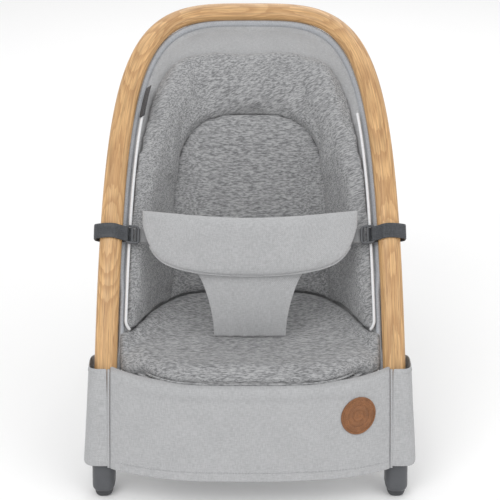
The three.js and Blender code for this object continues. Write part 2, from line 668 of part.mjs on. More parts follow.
// A sleeve of cloth round the foot of each arch leg, open towards the inside.
const SLEEVE_WRAP = 98;
const SLEEVE_CENTRE_X = 187.5;
function sleevePoint(side) {
  return (u, v) => {
    const z = lerp(HEM_Z + 3, SKIRT_TOP_Z + 3, v);
    const front = seamFront(z) - 1.5;
    const back = lerp(57, profile(158).y + 17, v);
    const halfWide = lerp(25, 18.8, v) - CLOTH;
    const turn = deg(SLEEVE_WRAP) * u * side;
    const squared = (value) => Math.sign(value) * Math.abs(value) ** 0.55;
    const x = SLEEVE_CENTRE_X + halfWide * squared(Math.cos(turn));
    const y = (front + CLOTH + back) / 2 + ((back - front - CLOTH) / 2) * squared(Math.sin(turn));
    return new THREE.Vector3(side * x, y, z);
  };
}
for (const [hand, side] of SIDES) {
  const cloth = slab(16, 4, sleevePoint(side), 0, () => CLOTH - 0.6);
  add(`skirt_sleeve_${hand}`, cloth, LIGHT_FABRIC);
}

const BADGE = { x: 134.5, z: 112, r: 22 };
const badgeDisc = new THREE.CylinderGeometry(BADGE.r, BADGE.r, 1.6, 32, 1);
add('leather_badge', shaped(badgeDisc, (x, y, z) => {
  const u = (BADGE.x + x) / (SEAM_X - GAP);
  const v = (BADGE.z - z - HEM_Z) / (SKIRT_TOP_Z - HEM_Z);
  return skirtPoint(u, v).addScaledVector(normalOf(skirtPoint, u, v), CLOTH + 1.3 + y);
}), LEATHER);

// ---------------------------------------------------------------- waist restraint
function flapPoint(u, v) {
  const bottom = 262 + 18 * Math.abs(u) ** 3.4 + 32 * Math.abs(u) ** 13;
  const top = lerp(339, 328, u * u);
  const z = lerp(bottom, top, v);
  const lean = lerp(0.08, 0.5, u * u);
  const y = lerp(117, 159, u * u) + (z - lerp(300, 314, u * u)) * lean;
  return new THREE.Vector3(u * FLAP_HALF, y, z);
}
add('waist_flap', slab(14, 6, flapPoint, 0, padHeight(10, 3)), LIGHT_FABRIC);

function strapPoint(u, v) {
  const z = lerp(STRAP_ROOT.z, 284, v);
  const up = (z - STRAP_ROOT.z) / 102;
  const half = 47 + 27 * up ** 2 + 13 * Math.min(up, 1.05) ** 12;
  const x = u * half;
  const wrap = 42 * (x / FLAP_HALF) ** 2 * Math.min(v / 0.7, 1);
  const y = STRAP_ROOT.y - 2 * Math.sin(Math.PI * v) + 4.5 * v ** 3 + 1.5 + wrap;
  return new THREE.Vector3(x, y, z);
}
add('crotch_strap', slab(8, 10, strapPoint, 0, () => 3), LIGHT_FABRIC);

// Belt frames: x across the seat, up along the arch, front square to it.
const belt = profile(BELT_AT);
const beltHalf = archHalfWidth(BELT_AT);
const BUCKLE = { wide: 19.4, high: 25, thick: 4, x: 152.2 };
const TONGUE = 163;
function onBelt(side) {
  return (x, up, front) => {
    const back = lerp(9, 0, (Math.abs(x) - FLAP_HALF) / (beltHalf - FLAP_HALF));
    const spot = { y: belt.y - back, z: belt.z };
    return new THREE.Vector3(
      side * x,
      spot.y + up * Math.cos(belt.angle) - front * Math.sin(belt.angle),
      spot.z + up * Math.sin(belt.angle) + front * Math.cos(belt.angle),
    );
  };
}

function buckleFrame() {
  const { wide, high, thick } = BUCKLE;
  const frame = new THREE.Shape();
  const corner = 4;
  frame.moveTo(-wide / 2 + corner, -high / 2);
  frame.lineTo(wide / 2 - corner, -high / 2);
  frame.quadraticCurveTo(wide / 2, -high / 2, wide / 2, -high / 2 + corner);
  frame.lineTo(wide / 2, high / 2 - corner);
  frame.quadraticCurveTo(wide / 2, high / 2, wide / 2 - corner, high / 2);
  frame.lineTo(-wide / 2 + corner, high / 2);
  frame.quadraticCurveTo(-wide / 2, high / 2, -wide / 2, high / 2 - corner);
  frame.lineTo(-wide / 2, -high / 2 + corner);
  frame.quadraticCurveTo(-wide / 2, -high / 2, -wide / 2 + corner, -high / 2);
  const plate = new THREE.ExtrudeGeometry(frame, { depth: thick, bevelEnabled: false, curveSegments: 3 });
  const slots = [-4.6, 4.6].map((x) => block(3.4, BELT_WIDE, 3 * thick, x, 0, 0));
  return cut(plate, ...slots);
}

const LOOSE = 3;
function looseFrames(side, from, to) {
  const at = legFrames(side, from, to);
  return (k) => {
    const frame = at(k);
    frame.point.x += side * LOOSE;
    return frame;
  };
}

for (const [hand, side] of SIDES) {
  const place = onBelt(side);
  // mirrored pieces swap x so that their faces still point outwards
  add(`buckle_${hand}`, shaped(buckleFrame(), (x, up, z) => {
    return place(BUCKLE.x + side * x, up, z - BUCKLE.thick / 2);
  }), DARK_PLASTIC);

  const web = new THREE.BoxGeometry(3.4, BELT_WIDE - 1, 2);
  add(`belt_tab_${hand}`, shaped(web, (x, up, z) => {
    return place(FLAP_HALF + 2.6 + side * x, up, z);
  }), WEBBING);

  // the loop lies on the inside of the wood and stands off its outside
  const ring = (grow, from, to) => {
    return bar(looseFrames(side, from, to), ARCH_WIDE + LOOSE + grow, ARCH_DEEP + grow, 1, 20);
  };
  const outer = ring(3.1, BELT_AT - BELT_WIDE / 2, BELT_AT + BELT_WIDE / 2);
  const inner = ring(1.2, BELT_AT - BELT_WIDE, BELT_AT + BELT_WIDE);
  const tongue = shaped(new THREE.BoxGeometry(8, BELT_WIDE, 3), (x, up, z) => {
    return place(TONGUE + 4 + side * x, up, z);
  });
  add(`arch_loop_${hand}`, cut(join(outer, tongue), inner), WEBBING);
}

// a small blank tag sewn into the edge of the inlay
const tag = slab(1, 3, (u, v) => seatPoint(-0.985 + 0.018 * u, lerp(0.79, 0.828, v)), 3.4, () => 4.6);
add('side_tag', tag, WEBBING);

export default seat;
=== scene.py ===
"""Dresses the folding bouncer seat: a bentwood oak arch, a grey cloth seat with a padded heather
inlay, a skirt over the front feet, a waist restraint and the folding steel leg behind."""

import math
from bisect import bisect_left
from collections import namedtuple

import bmesh
import bpy
from bpy.props import FloatProperty, FloatVectorProperty, PointerProperty
from mathutils import Matrix, Vector, noise
from mathutils.kdtree import KDTree


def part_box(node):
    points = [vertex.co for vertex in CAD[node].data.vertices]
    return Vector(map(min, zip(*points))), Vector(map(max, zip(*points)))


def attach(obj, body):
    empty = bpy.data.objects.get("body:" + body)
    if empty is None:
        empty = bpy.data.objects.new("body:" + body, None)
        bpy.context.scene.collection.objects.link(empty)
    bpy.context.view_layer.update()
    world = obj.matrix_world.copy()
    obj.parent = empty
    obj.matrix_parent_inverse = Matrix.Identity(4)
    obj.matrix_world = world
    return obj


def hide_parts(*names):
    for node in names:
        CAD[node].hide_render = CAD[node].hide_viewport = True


bl_info = {
    "name": "Bouncer Seat",
    "version": (1, 0, 0),
    "blender": (4, 5, 0),
    "location": "3D View > Sidebar > Bouncer",
    "description": "Builds the looks of a folding bouncer seat round its CAD frame",
    "category": "Add Mesh",
}

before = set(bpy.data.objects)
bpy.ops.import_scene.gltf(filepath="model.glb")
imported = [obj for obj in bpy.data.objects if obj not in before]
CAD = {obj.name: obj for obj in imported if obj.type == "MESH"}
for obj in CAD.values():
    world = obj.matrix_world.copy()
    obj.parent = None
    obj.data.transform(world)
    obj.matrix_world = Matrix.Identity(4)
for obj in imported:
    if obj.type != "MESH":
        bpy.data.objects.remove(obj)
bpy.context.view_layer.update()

MM = 0.001
SIDES = (("left", -1), ("right", 1))

# ------------------------------------------------------------------ fixed places of the frame, millimetres
BODY_CENTRE_Y = 283.8      # middle of the seat, measured back from the front feet
ARCH_FOOT = (12, 20)       # y and z of the lower end of the arch's centre line
ARCH_TOP = (456, 515)
ARCH_BEND = math.radians(50)
ARCH_HALF_WIDTH = 187.5
ARCH_TAPER = 0.021
ARCH_SHOULDER = 5.7
ARCH_CROWN = 3.7
ARCH_HALF_DEPTH = 10
TENON_TOP = 54             # height up the arch where it leaves the foot's socket
TENON_SLIMMER = 1.5

RIM_DEPTH = 13
SHELL_INSET = 24.5
ROLL_INSET = 14.0          # middle of the rolled hem beside the wood
ROLL_DEPTH = 9.8
ROLL_START = 128
SADDLE_LONG = 47

HUB_AT = 205
HUB_DEPTH = 34
LEG_LENGTH = 500
LEG_CORNER = 50
LEG_START = 16
LEG_NARROWS = 0.03
CROSSBAR_Z = 14
REAR_FOOT_X = 98
REAR_FOOT_LONG = 34
REAR_FOOT_RADIUS = 12
BUTTON_OUT = 7.4           # from the hinge's plane to the back of the thumb button

HEM_Z = 44
SKIRT_TOP_Z = 158
SEAM_X = 178
SEAM_AHEAD = 8.5           # how far in front of the wood the skirt's side seams run
SLEEVE_X = 187.5
BADGE_X, BADGE_Z = 135.5, 117
BELT_AT = 320              # height up the arch of the belts
BUCKLE_X = 152.6
BUCKLE_WIDE, BUCKLE_HIGH = 19.4, 25
BELT_HALF_WIDE = 10
TAPE_HALF_WIDE = 9.5
TAG_V = (0.777, 0.825)     # the side tag's place up the inlay, in shares of the seat's cloth

CAMERA_AIM = (0, -0.0338, 0.23619)

Frame = namedtuple("Frame", "point side normal")


# ------------------------------------------------------------------ sizes and colours a user may change
class BouncerFrameSizes(bpy.types.PropertyGroup):
    arch_half_wide: FloatProperty(
        name="Arch half width", description="Half of the wood's size across the arch",
        default=0.0145, min=0.010, max=0.020, unit="LENGTH")
    arch_half_deep: FloatProperty(
        name="Arch half depth", description="Half of the wood's size front to back",
        default=0.010, min=0.006, max=0.014, unit="LENGTH")
    leg_radius: FloatProperty(
        name="Leg radius", description="Radius of the steel tube of the rear leg",
        default=0.008, min=0.005, max=0.010, unit="LENGTH")
    spring_wire: FloatProperty(
        name="Spring wire", description="Radius of the wire of the lock springs",
        default=0.0006, min=0.0003, max=0.001, unit="LENGTH")


class BouncerClothSizes(bpy.types.PropertyGroup):
    thickness: FloatProperty(
        name="Cloth thickness", description="Thickness of the woven cloth",
        default=0.0013, min=0.0005, max=0.003, unit="LENGTH")
    hem_radius: FloatProperty(
        name="Rim radius", description="Radius of the cloth rolled round the rim rod",
        default=0.0050, min=0.0040, max=0.0052, unit="LENGTH")
    piping_radius: FloatProperty(
        name="Piping radius", description="Radius of the light piping beside the inlay",
        default=0.0019, min=0.001, max=0.003, unit="LENGTH")
    stitch_length: FloatProperty(
        name="Stitch length", description="Length of one stitch",
        default=0.0028, min=0.001, max=0.006, unit="LENGTH")
    bolster_height: FloatProperty(
        name="Bolster height", description="How far the bolster stands off the seat cloth",
        default=0.021, min=0.010, max=0.026, unit="LENGTH")
    seat_height: FloatProperty(
        name="Seat pad height", description="Thickness of the seat pad in its middle",
        default=0.020, min=0.008, max=0.024, unit="LENGTH")


class BouncerColours(bpy.types.PropertyGroup):
    def colour(name, description, default):
        return FloatVectorProperty(
            name=name, description=description, default=default, size=3,
            min=0, max=1, subtype="COLOR")

    oak_light: colour("Oak, early wood", "Lighter colour of the oak", (0.66, 0.40, 0.180))
    oak_dark: colour("Oak, late wood", "Darker colour of the oak's grain", (0.34, 0.165, 0.060))
    cloth: colour("Woven cloth", "Light grey of the seat, skirt and restraint", (0.405, 0.408, 0.415))
    # painted light: the rim is the seat cloth rolled round the rod; its grey is made a little lighter and
    # cooler for the roll's highlight and cool shade
    rim: colour("Rim cloth", "Seat cloth grey painted lighter and cooler on the rolled rim", (0.40, 0.415, 0.44))
    heather_light: colour("Heather, light", "Light fibres of the inlay", (0.43, 0.432, 0.437))
    heather_dark: colour("Heather, dark", "Dark fibres of the inlay", (0.155, 0.157, 0.162))
    piping: colour("Piping", "Off-white of the piping", (0.74, 0.745, 0.76))
    webbing: colour("Webbing", "Near-black of the belts", (0.022, 0.024, 0.028))
    plastic: colour("Plastic", "Dark grey of the mouldings", (0.075, 0.078, 0.085))
    rubber: colour("Rubber", "Grey-black of the foot pads", (0.060, 0.062, 0.066))
    steel: colour("Painted steel", "Grey of the painted tubes", (0.135, 0.142, 0.155))
    leather: colour("Leather", "Brown of the round badge", (0.30, 0.125, 0.048))
    thread: colour("Thread", "Colour of the sewing thread", (0.37, 0.373, 0.38))


class BouncerStudio(bpy.types.PropertyGroup):
    camera_distance: FloatProperty(
        name="Camera distance", description="From the camera to the middle of the seat",
        default=2.0, min=1.0, max=5.0, unit="LENGTH")
    camera_elevation: FloatProperty(
        name="Camera elevation", description="Height of the camera above the horizon",
        default=math.radians(24), min=0, max=math.radians(80), subtype="ANGLE")
    lens: FloatProperty(
        name="Lens", description="Focal length on a 36 mm sensor", default=105.05, min=20, max=300)
    key_power: FloatProperty(
        name="Key light", description="Power of the large soft light", default=20, min=0, max=500,
        unit="POWER")
    sky: FloatProperty(
        name="Surroundings", description="Brightness of the white surroundings", default=0.80,
        min=0, max=3)


# ------------------------------------------------------------------ small sums
def lerp(a, b, t):
    return a + (b - a) * t


def clamp(value, low=0.0, high=1.0):
    return max(low, min(high, value))


def hump(value, centre, width):
    """A smooth bump of height 1, about twice width across."""
    return math.exp(-(((value - centre) / width) ** 2))


def squared(value, power):
    """A sine or cosine made squarer, so that a circle becomes a rounded box."""
    return math.copysign(abs(value) ** power, value)


def spot(x, y, z):
    """A place in millimetres, y from the front feet, as a point of the scene in metres."""
    return Vector((x, y - BODY_CENTRE_Y, z)) * MM


def spline(points, t):
    """A point of the smooth line through points, t from 0 to 1."""
    last = len(points) - 1
    run = clamp(t) * last
    i = min(int(run), last - 1)
    w = run - i
    a, b, c, d = (points[clamp(j, 0, last)] for j in (i - 1, i, i + 1, i + 2))
    return tuple(
        q + w * ((r - p) / 2 + w * (p - 2.5 * q + 2 * r - s / 2 + w * (1.5 * (q - r) + (s - p) / 2)))
        for p, q, r, s in zip(a, b, c, d)
    )


# ------------------------------------------------------------------ the arch's line
class Arch:
    """The line of the bentwood arch: a circular arc from the side, a rounded head from the front."""

    chord = math.dist(ARCH_FOOT, ARCH_TOP)
    radius = chord / (2 * math.sin(ARCH_BEND / 2))
    length = radius * ARCH_BEND
    start = math.atan2(ARCH_TOP[1] - ARCH_FOOT[1], ARCH_TOP[0] - ARCH_FOOT[0]) + ARCH_BEND / 2

    @classmethod
    def profile(cls, s, lift=0.0):
        """y, z and slope s millimetres up the arch, lift millimetres in front of its centre line."""
        angle = cls.start - s / cls.radius
        y = ARCH_FOOT[0] + cls.radius * (math.sin(cls.start) - math.sin(angle)) - lift * math.sin(angle)
        z = ARCH_FOOT[1] - cls.radius * (math.cos(cls.start) - math.cos(angle)) + lift * math.cos(angle)
        return y, z, angle

    @classmethod
    def half_width(cls, s, inset=0.0):
        head = 1 - clamp(s / (cls.length - inset)) ** ARCH_SHOULDER
        return (ARCH_HALF_WIDTH - inset - ARCH_TAPER * s) * head ** (1 / ARCH_CROWN)

    @classmethod
    def outline(cls, turn, inset, lift, start):
        length = cls.length - inset
        swing = math.asin((start / length) ** (ARCH_SHOULDER / 2))
        swing = lerp(swing, math.pi - swing, turn)
        s = length * max(math.sin(swing), 0) ** (2 / ARCH_SHOULDER)
        reach = (ARCH_HALF_WIDTH - inset - ARCH_TAPER * s) * abs(math.cos(swing)) ** (2 / ARCH_CROWN)
        y, z, angle = cls.profile(s, lift)
        return spot(-math.copysign(reach, math.cos(swing)), y, z), angle

    @classmethod
    def frames(cls, inset=0.0, lift=0.0, start=0.0):
        """Evenly spaced frames from one end of the arch, over its head, to the other, and its length."""
        fine = 2400
        spots = [cls.outline(i / fine, inset, lift, start) for i in range(fine + 1)]
        runs = [0.0]
        for (p, _), (q, _) in zip(spots, spots[1:]):
            runs.append(runs[-1] + (q - p).length)

        def at(k):
            run = clamp(k) * runs[-1]
            i = int(clamp(bisect_left(runs, run), 1, fine))
            part = (run - runs[i - 1]) / (runs[i] - runs[i - 1])
            point = spots[i - 1][0].lerp(spots[i][0], part)
            angle = lerp(spots[i - 1][1], spots[i][1], part)
            tangent = (spots[min(i + 6, fine)][0] - spots[max(i - 7, 0)][0]).normalized()
            normal = Vector((0, -math.sin(angle), math.cos(angle)))
            normal = (normal - tangent * normal.dot(tangent)).normalized()
            return Frame(point, tangent.cross(normal), normal)

        return at, runs[-1]

    @classmethod
    def beside(cls, side, s, x, up=0.0, front=0.0):
        """A place beside the arch's leg: x across, up along the arch from s, front square to it."""
        y, z, angle = cls.profile(s)
        return spot(side * x, y + up * math.cos(angle) - front * math.sin(angle),
                    z + up * math.sin(angle) + front * math.cos(angle))


def along(place, facing, reach=0.004):
    """Frames along the line place(k), whose normal is as near facing(k) as it can be."""
    def at(k):
        tangent = (place(min(k + reach, 1)) - place(max(k - reach, 0))).normalized()
        front = Vector(facing(k))
        normal = (front - tangent * front.dot(tangent)).normalized()
        return Frame(place(k), tangent.cross(normal), normal)
    return at


def length_of(place, steps=80):
    spots = [place(i / steps) for i in range(steps + 1)]
    return sum((q - p).length for p, q in zip(spots, spots[1:]))


# ------------------------------------------------------------------ the seat's hollow
# From the front edge, through the crook, to the head: the middle of the cloth from the side, how far
# up the arch its edge is held, and how square the hollow is.
STATIONS = (
    (12, 155, 148, 4.5), (85, 147, 158, 4.5), (165, 147, 168, 4.5), (228, 160, 180, 4.6),
    (262, 200, 215, 4.6), (288, 258, 280, 4.3), (316, 330, 375, 4.0), (352, 406, 490, 3.7),
    (406, 467, 600, 3.2),
    (Arch.profile(657, -RIM_DEPTH)[0], Arch.profile(657, -RIM_DEPTH)[1], 655, 2.8),
)


def seat_point(u, v):
    """A point of the seat cloth's inner face: u from -1 to 1 across, v from the front to the head."""
    y, z, held, square = spline(STATIONS, v)
    edge_y, edge_z, _ = Arch.profile(held, -RIM_DEPTH)
    rise = min(abs(u), 1) ** square
    return spot(u * Arch.half_width(held, SHELL_INSET), lerp(y, edge_y, rise), lerp(z, edge_z, rise))


def normal_of(surface, u, v):
    step = 0.01
    across = surface(min(u + step, 1), v) - surface(max(u - step, -1), v)
    up = surface(u, min(v + step, 1)) - surface(u, max(v - step, 0))
    return across.cross(up).normalized()


def off(surface, u, v, lift):
    """A point lift metres off a surface."""
    return surface(u, v) + normal_of(surface, u, v) * lift


def pad_height(full, edge, sharp=6, soft=0.4):
    """The height of a pad: full in its middle, thin at its edges."""
    def height(u, v):
        middle = (1 - abs(u) ** sharp) * (1 - abs(2 * v - 1) ** sharp)
        return edge + (full - edge) * max(middle, 0) ** soft
    return height


# ------------------------------------------------------------------ making meshes
def new_piece(name, bm, smooth=True):
    """A new object at the origin from a finished bmesh."""
    mesh = bpy.data.meshes.new(name)
    for face in bm.faces:
        face.smooth = smooth
    bm.to_mesh(mesh)
    bm.free()
    piece = bpy.data.objects.new(name, mesh)
    bpy.context.scene.collection.objects.link(piece)
    return piece


def modifier(piece, kind, **values):
    made = piece.modifiers.new(kind.lower(), kind)
    for key, value in values.items():
        setattr(made, key, value)
    return made


def subdivided(piece, levels=1):
    return modifier(piece, "SUBSURF", levels=levels, render_levels=levels)


def swept(bm, frame_at, size_at, steps, sides=16, square=1.0, length=1.0, closed=False, spots=None):
    """Draws an oval along a line of frames; the attribute straight keeps the place in the bar."""
    section = bm.verts.layers.float_vector.get("section") or bm.verts.layers.float_vector.new("section")
    straight = bm.verts.layers.float_vector.get("straight") or bm.verts.layers.float_vector.new("straight")
    ring = bmesh.ops.create_circle(bm, cap_ends=False, segments=sides, radius=1)["verts"]
    for v in ring:
        v[section] = (squared(v.co.x, square), squared(v.co.y, square), 0)

    def lay(verts, k):
        at = frame_at(k)
        wide, deep = size_at(k)
        for v in verts:
            x, y = v[section][0] * wide, v[section][1] * deep
            v.co = at.point + at.side * x + at.normal * y
            v[straight] = (x, y, k * length)

    spots = spots or [i / steps for i in range(steps if closed else steps + 1)]
    lay(ring, spots[0])
    edges = list({e for v in ring for e in v.link_edges})
    first = edges
    for k in spots[1:]:
        made = bmesh.ops.extrude_edge_only(bm, edges=edges)["geom"]
        fresh = {g for g in made if isinstance(g, bmesh.types.BMVert)}
        edges = [g for g in made if isinstance(g, bmesh.types.BMEdge) and set(g.verts) <= fresh]
        lay(fresh, k)
    if closed:
        bmesh.ops.bridge_loops(bm, edges=first + edges)
    else:
        bmesh.ops.holes_fill(bm, edges=first + edges, sides=0)
    bmesh.ops.recalc_face_normals(bm, faces=bm.faces)


def bar(name, frame_at, wide, deep=None, steps=40, sides=16, square=1.0, length=1.0, closed=False):
    """One swept bar of a steady section as a piece."""
    bm = bmesh.new()
    swept(bm, frame_at, lambda k: (wide, wide if deep is None else deep), steps, sides, square,
          length, closed)
    return new_piece(name, bm)


def cloth_sheet(name, surface, across, along_it, flat, thickness, levels=1):
    """A thin cloth whose outer face is surface(u, v); its attribute straight runs in metres."""
    bm = bmesh.new()
    straight = bm.verts.layers.float_vector.new("straight")
    bmesh.ops.create_grid(bm, x_segments=across, y_segments=along_it, size=1)
    for v in bm.verts:
        u, w = v.co.x, (v.co.y + 1) / 2
        v[straight] = (u * flat[0] / 2, w * flat[1], 0)
        v.co = surface(u, w)
    piece = new_piece(name, bm)
    modifier(piece, "SOLIDIFY", thickness=thickness, offset=-1, use_even_offset=True)
    if levels:
        subdivided(piece, levels)
    return piece


def pad(name, surface, back, height, across, along_it):
    """A closed pad on a surface: back metres off it behind, height(u, v) off it in front."""
    bm = bmesh.new()
    place = bm.verts.layers.float_vector.new("place")
    bmesh.ops.create_grid(bm, x_segments=across, y_segments=along_it, size=1)
    for v in bm.verts:
        v[place] = (v.co.x, (v.co.y + 1) / 2, 0)
    made = bmesh.ops.extrude_face_region(bm, geom=bm.faces[:], use_keep_orig=True)["geom"]
    for v in (g for g in made if isinstance(g, bmesh.types.BMVert)):
        v[place] = (v[place][0], v[place][1], 1)
    for v in bm.verts:
        u, w, front = v[place]
        v.co = off(surface, u, w, height(u, w) if front else back)
    bmesh.ops.recalc_face_normals(bm, faces=bm.faces)
    return new_piece(name, bm)


def applied(piece, made):
    with bpy.context.temp_override(object=piece, active_object=piece, selected_objects=[piece]):
        bpy.ops.object.modifier_apply(modifier=made.name)


def filled(piece, surface, back, voxel, cap, pressure=4.0, slack=0.0):
    """Fills a closed pad by a short cloth simulation, held at its back, and keeps the result."""
    applied(piece, modifier(piece, "REMESH", mode="VOXEL", voxel_size=voxel, use_smooth_shade=True))
    tree = KDTree(61 * 61)
    for i in range(61):
        for j in range(61):
            tree.insert(off(surface, i / 30 - 1, j / 60, back), i * 61 + j)
    tree.balance()
    held = [v.index for v in piece.data.vertices if tree.find(v.co)[2] < voxel * 0.9]
    piece.vertex_groups.new(name="held").add(held, 1.0, "REPLACE")
    cloth = modifier(piece, "CLOTH")
    settings = cloth.settings
    settings.quality = 5
    settings.mass = 0.2
    settings.use_pressure = True
    settings.uniform_pressure_force = pressure
    settings.vertex_group_mass = "held"
    settings.shrink_min = -slack
    settings.effector_weights.gravity = 0
    settings.bending_stiffness = 0.6
    cloth.collision_settings.use_collision = False
    cloth.point_cache.frame_start = 1
    cloth.point_cache.frame_end = 20
    before = [v.co.copy() for v in piece.data.vertices]
    for step in range(1, 21):
        bpy.context.scene.frame_set(step)
    puffed = piece.evaluated_get(bpy.context.evaluated_depsgraph_get())
    after = [v.co.copy() for v in puffed.data.vertices]
    piece.modifiers.remove(cloth)
    bpy.context.scene.frame_set(1)
    for v, old, new in zip(piece.data.vertices, before, after):
        move = new - old
        v.co = old + (move.normalized() * min(move.length, cap) if move.length > 0 else move)
    piece.vertex_groups.clear()
    bm = bmesh.new()
    bm.from_mesh(piece.data)
    for _ in range(3):
        bmesh.ops.smooth_vert(bm, verts=bm.verts, factor=0.5, use_axis_x=True, use_axis_y=True,
                              use_axis_z=True)
    bm.to_mesh(piece.data)
    bm.free()


def turned(bm, outline, steps):
    """Turns an outline of radii and heights, in millimetres, into a round body about the z axis."""
    points = [bm.verts.new((r * MM, 0, h * MM)) for r, h in outline]
    for pair in zip(points, points[1:]):
        bm.edges.new(pair)
    bmesh.ops.spin(bm, geom=bm.verts[:] + bm.edges[:], cent=(0, 0, 0), axis=(0, 0, 1),
                   angle=2 * math.pi, steps=steps, use_merge=True)
    bmesh.ops.remove_doubles(bm, verts=bm.verts, dist=0.00002)
    bmesh.ops.holes_fill(bm, edges=[e for e in bm.edges if e.is_boundary], sides=0)
    bmesh.ops.recalc_face_normals(bm, faces=bm.faces)


def stitches(name, place, facing, count, body="seat_frame"):
    """A row of short sewn stitches along a line, each a small rounded thread."""
    cloth = bpy.context.scene.bouncer_cloth
    at = along(place, facing, 0.5 / count)
    bm = bmesh.new()
    for i in range(count):
        here = at((i + 0.5) / count)
        run = here.normal.cross(here.side)
        turn = Matrix((here.side, here.normal, run)).transposed().to_4x4()
        size = Matrix.Diagonal((0.00042, 0.00038, cloth.stitch_length / 2, 1))
        bmesh.ops.create_uvsphere(bm, u_segments=6, v_segments=4, radius=1,
                                  matrix=Matrix.Translation(here.point) @ turn @ size)
    piece = new_piece(name, bm)
    return finished(piece, thread_finish(), body, "light_fabric")


def finished(piece, material, body, slot, *stands_for):
    """Gives a piece its finish and its body, and hides the CAD nodes it stands for; its slot is not used.
    """
    piece.data.materials.clear()
    piece.data.materials.append(material)
    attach(piece, body)
    if stands_for:
        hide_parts(*stands_for)
    return piece


def dressed(node, material, edge=0.0):
    """Gives a CAD node a finish, and rounds its edges by modifiers that leave its mesh as it is."""
    piece = CAD[node]
    piece.data.materials.clear()
    piece.data.materials.append(material)
    if edge:
        modifier(piece, "WELD", merge_threshold=0.00002)
        modifier(piece, "BEVEL", width=edge, segments=2, limit_method="ANGLE",
                 angle_limit=math.radians(40), harden_normals=True)
        for face in piece.data.polygons:
            face.use_smooth = True
    return piece


# ------------------------------------------------------------------ node trees
class Tree:
    """Adds and joins the nodes of one node tree."""

    def __init__(self, nodes):
        self.tree = nodes

    def node(self, kind, *feeds, **values):
        made = self.tree.nodes.new(kind)
        for key, value in values.items():
            setattr(made, key, value)
        for slot, feed in zip(made.inputs, feeds):
            self.join(feed, slot)
        return made

    def join(self, feed, slot):
        if feed is None:
            return
        if isinstance(feed, bpy.types.Node):
            feed = feed.outputs[0]
        if isinstance(feed, bpy.types.NodeSocket):
            self.tree.links.new(feed, slot)
        else:
            slot.default_value = feed

    def sum(self, operation, *feeds):
        return self.node("ShaderNodeMath", *feeds, operation=operation).outputs[0]

    def vector(self, operation, *feeds):
        return self.node("ShaderNodeVectorMath", *feeds, operation=operation).outputs[0]

    def noise(self, place, scale, detail=2.0, rough=0.5):
        made = self.node("ShaderNodeTexNoise")
        for key, feed in (("Vector", place), ("Scale", scale), ("Detail", detail), ("Roughness", rough)):
            self.join(feed, made.inputs[key])
        return made.outputs["Fac"]

    def between(self, value, low, high):
        """0 where a value is under low, 1 where it is over high."""
        made = self.node("ShaderNodeMapRange", interpolation_type="SMOOTHSTEP")
        for key, feed in (("Value", value), ("From Min", low), ("From Max", high)):
            self.join(feed, made.inputs[key])
        return made.outputs["Result"]

    def mix(self, share, a, b, blend="MIX"):
        made = self.node("ShaderNodeMix", data_type="RGBA", blend_type=blend)
        self.join(share, made.inputs[0])
        self.join(a, made.inputs[6])
        self.join(b, made.inputs[7])
        return made.outputs[2]

    def bump(self, height, depth, strength=1.0):
        made = self.node("ShaderNodeBump")
        made.inputs["Strength"].default_value = strength
        made.inputs["Distance"].default_value = depth
        self.join(height, made.inputs["Height"])
        return made.outputs["Normal"]

    def group(self, name, **feeds):
        made = self.node("ShaderNodeGroup")
        made.node_tree = bpy.data.node_groups[name]
        for key, feed in feeds.items():
            self.join(feed, made.inputs[key])
        return made.outputs


def new_group(name, takes, gives):
    """An empty shader group, with its named inputs and outputs, and the ends to build between."""
    group = bpy.data.node_groups.new(name, "ShaderNodeTree")
    for socket, kind, default in takes:
        made = group.interface.new_socket(socket, in_out="INPUT", socket_type=kind)
        if default is not None:
            made.default_value = default
    for socket in gives:
        group.interface.new_socket(socket, in_out="OUTPUT", socket_type="NodeSocketFloat")
    tree = Tree(group)
    return tree, tree.node("NodeGroupInput").outputs, tree.node("NodeGroupOutput").inputs


PLACE = ("Place", "NodeSocketVector", None)


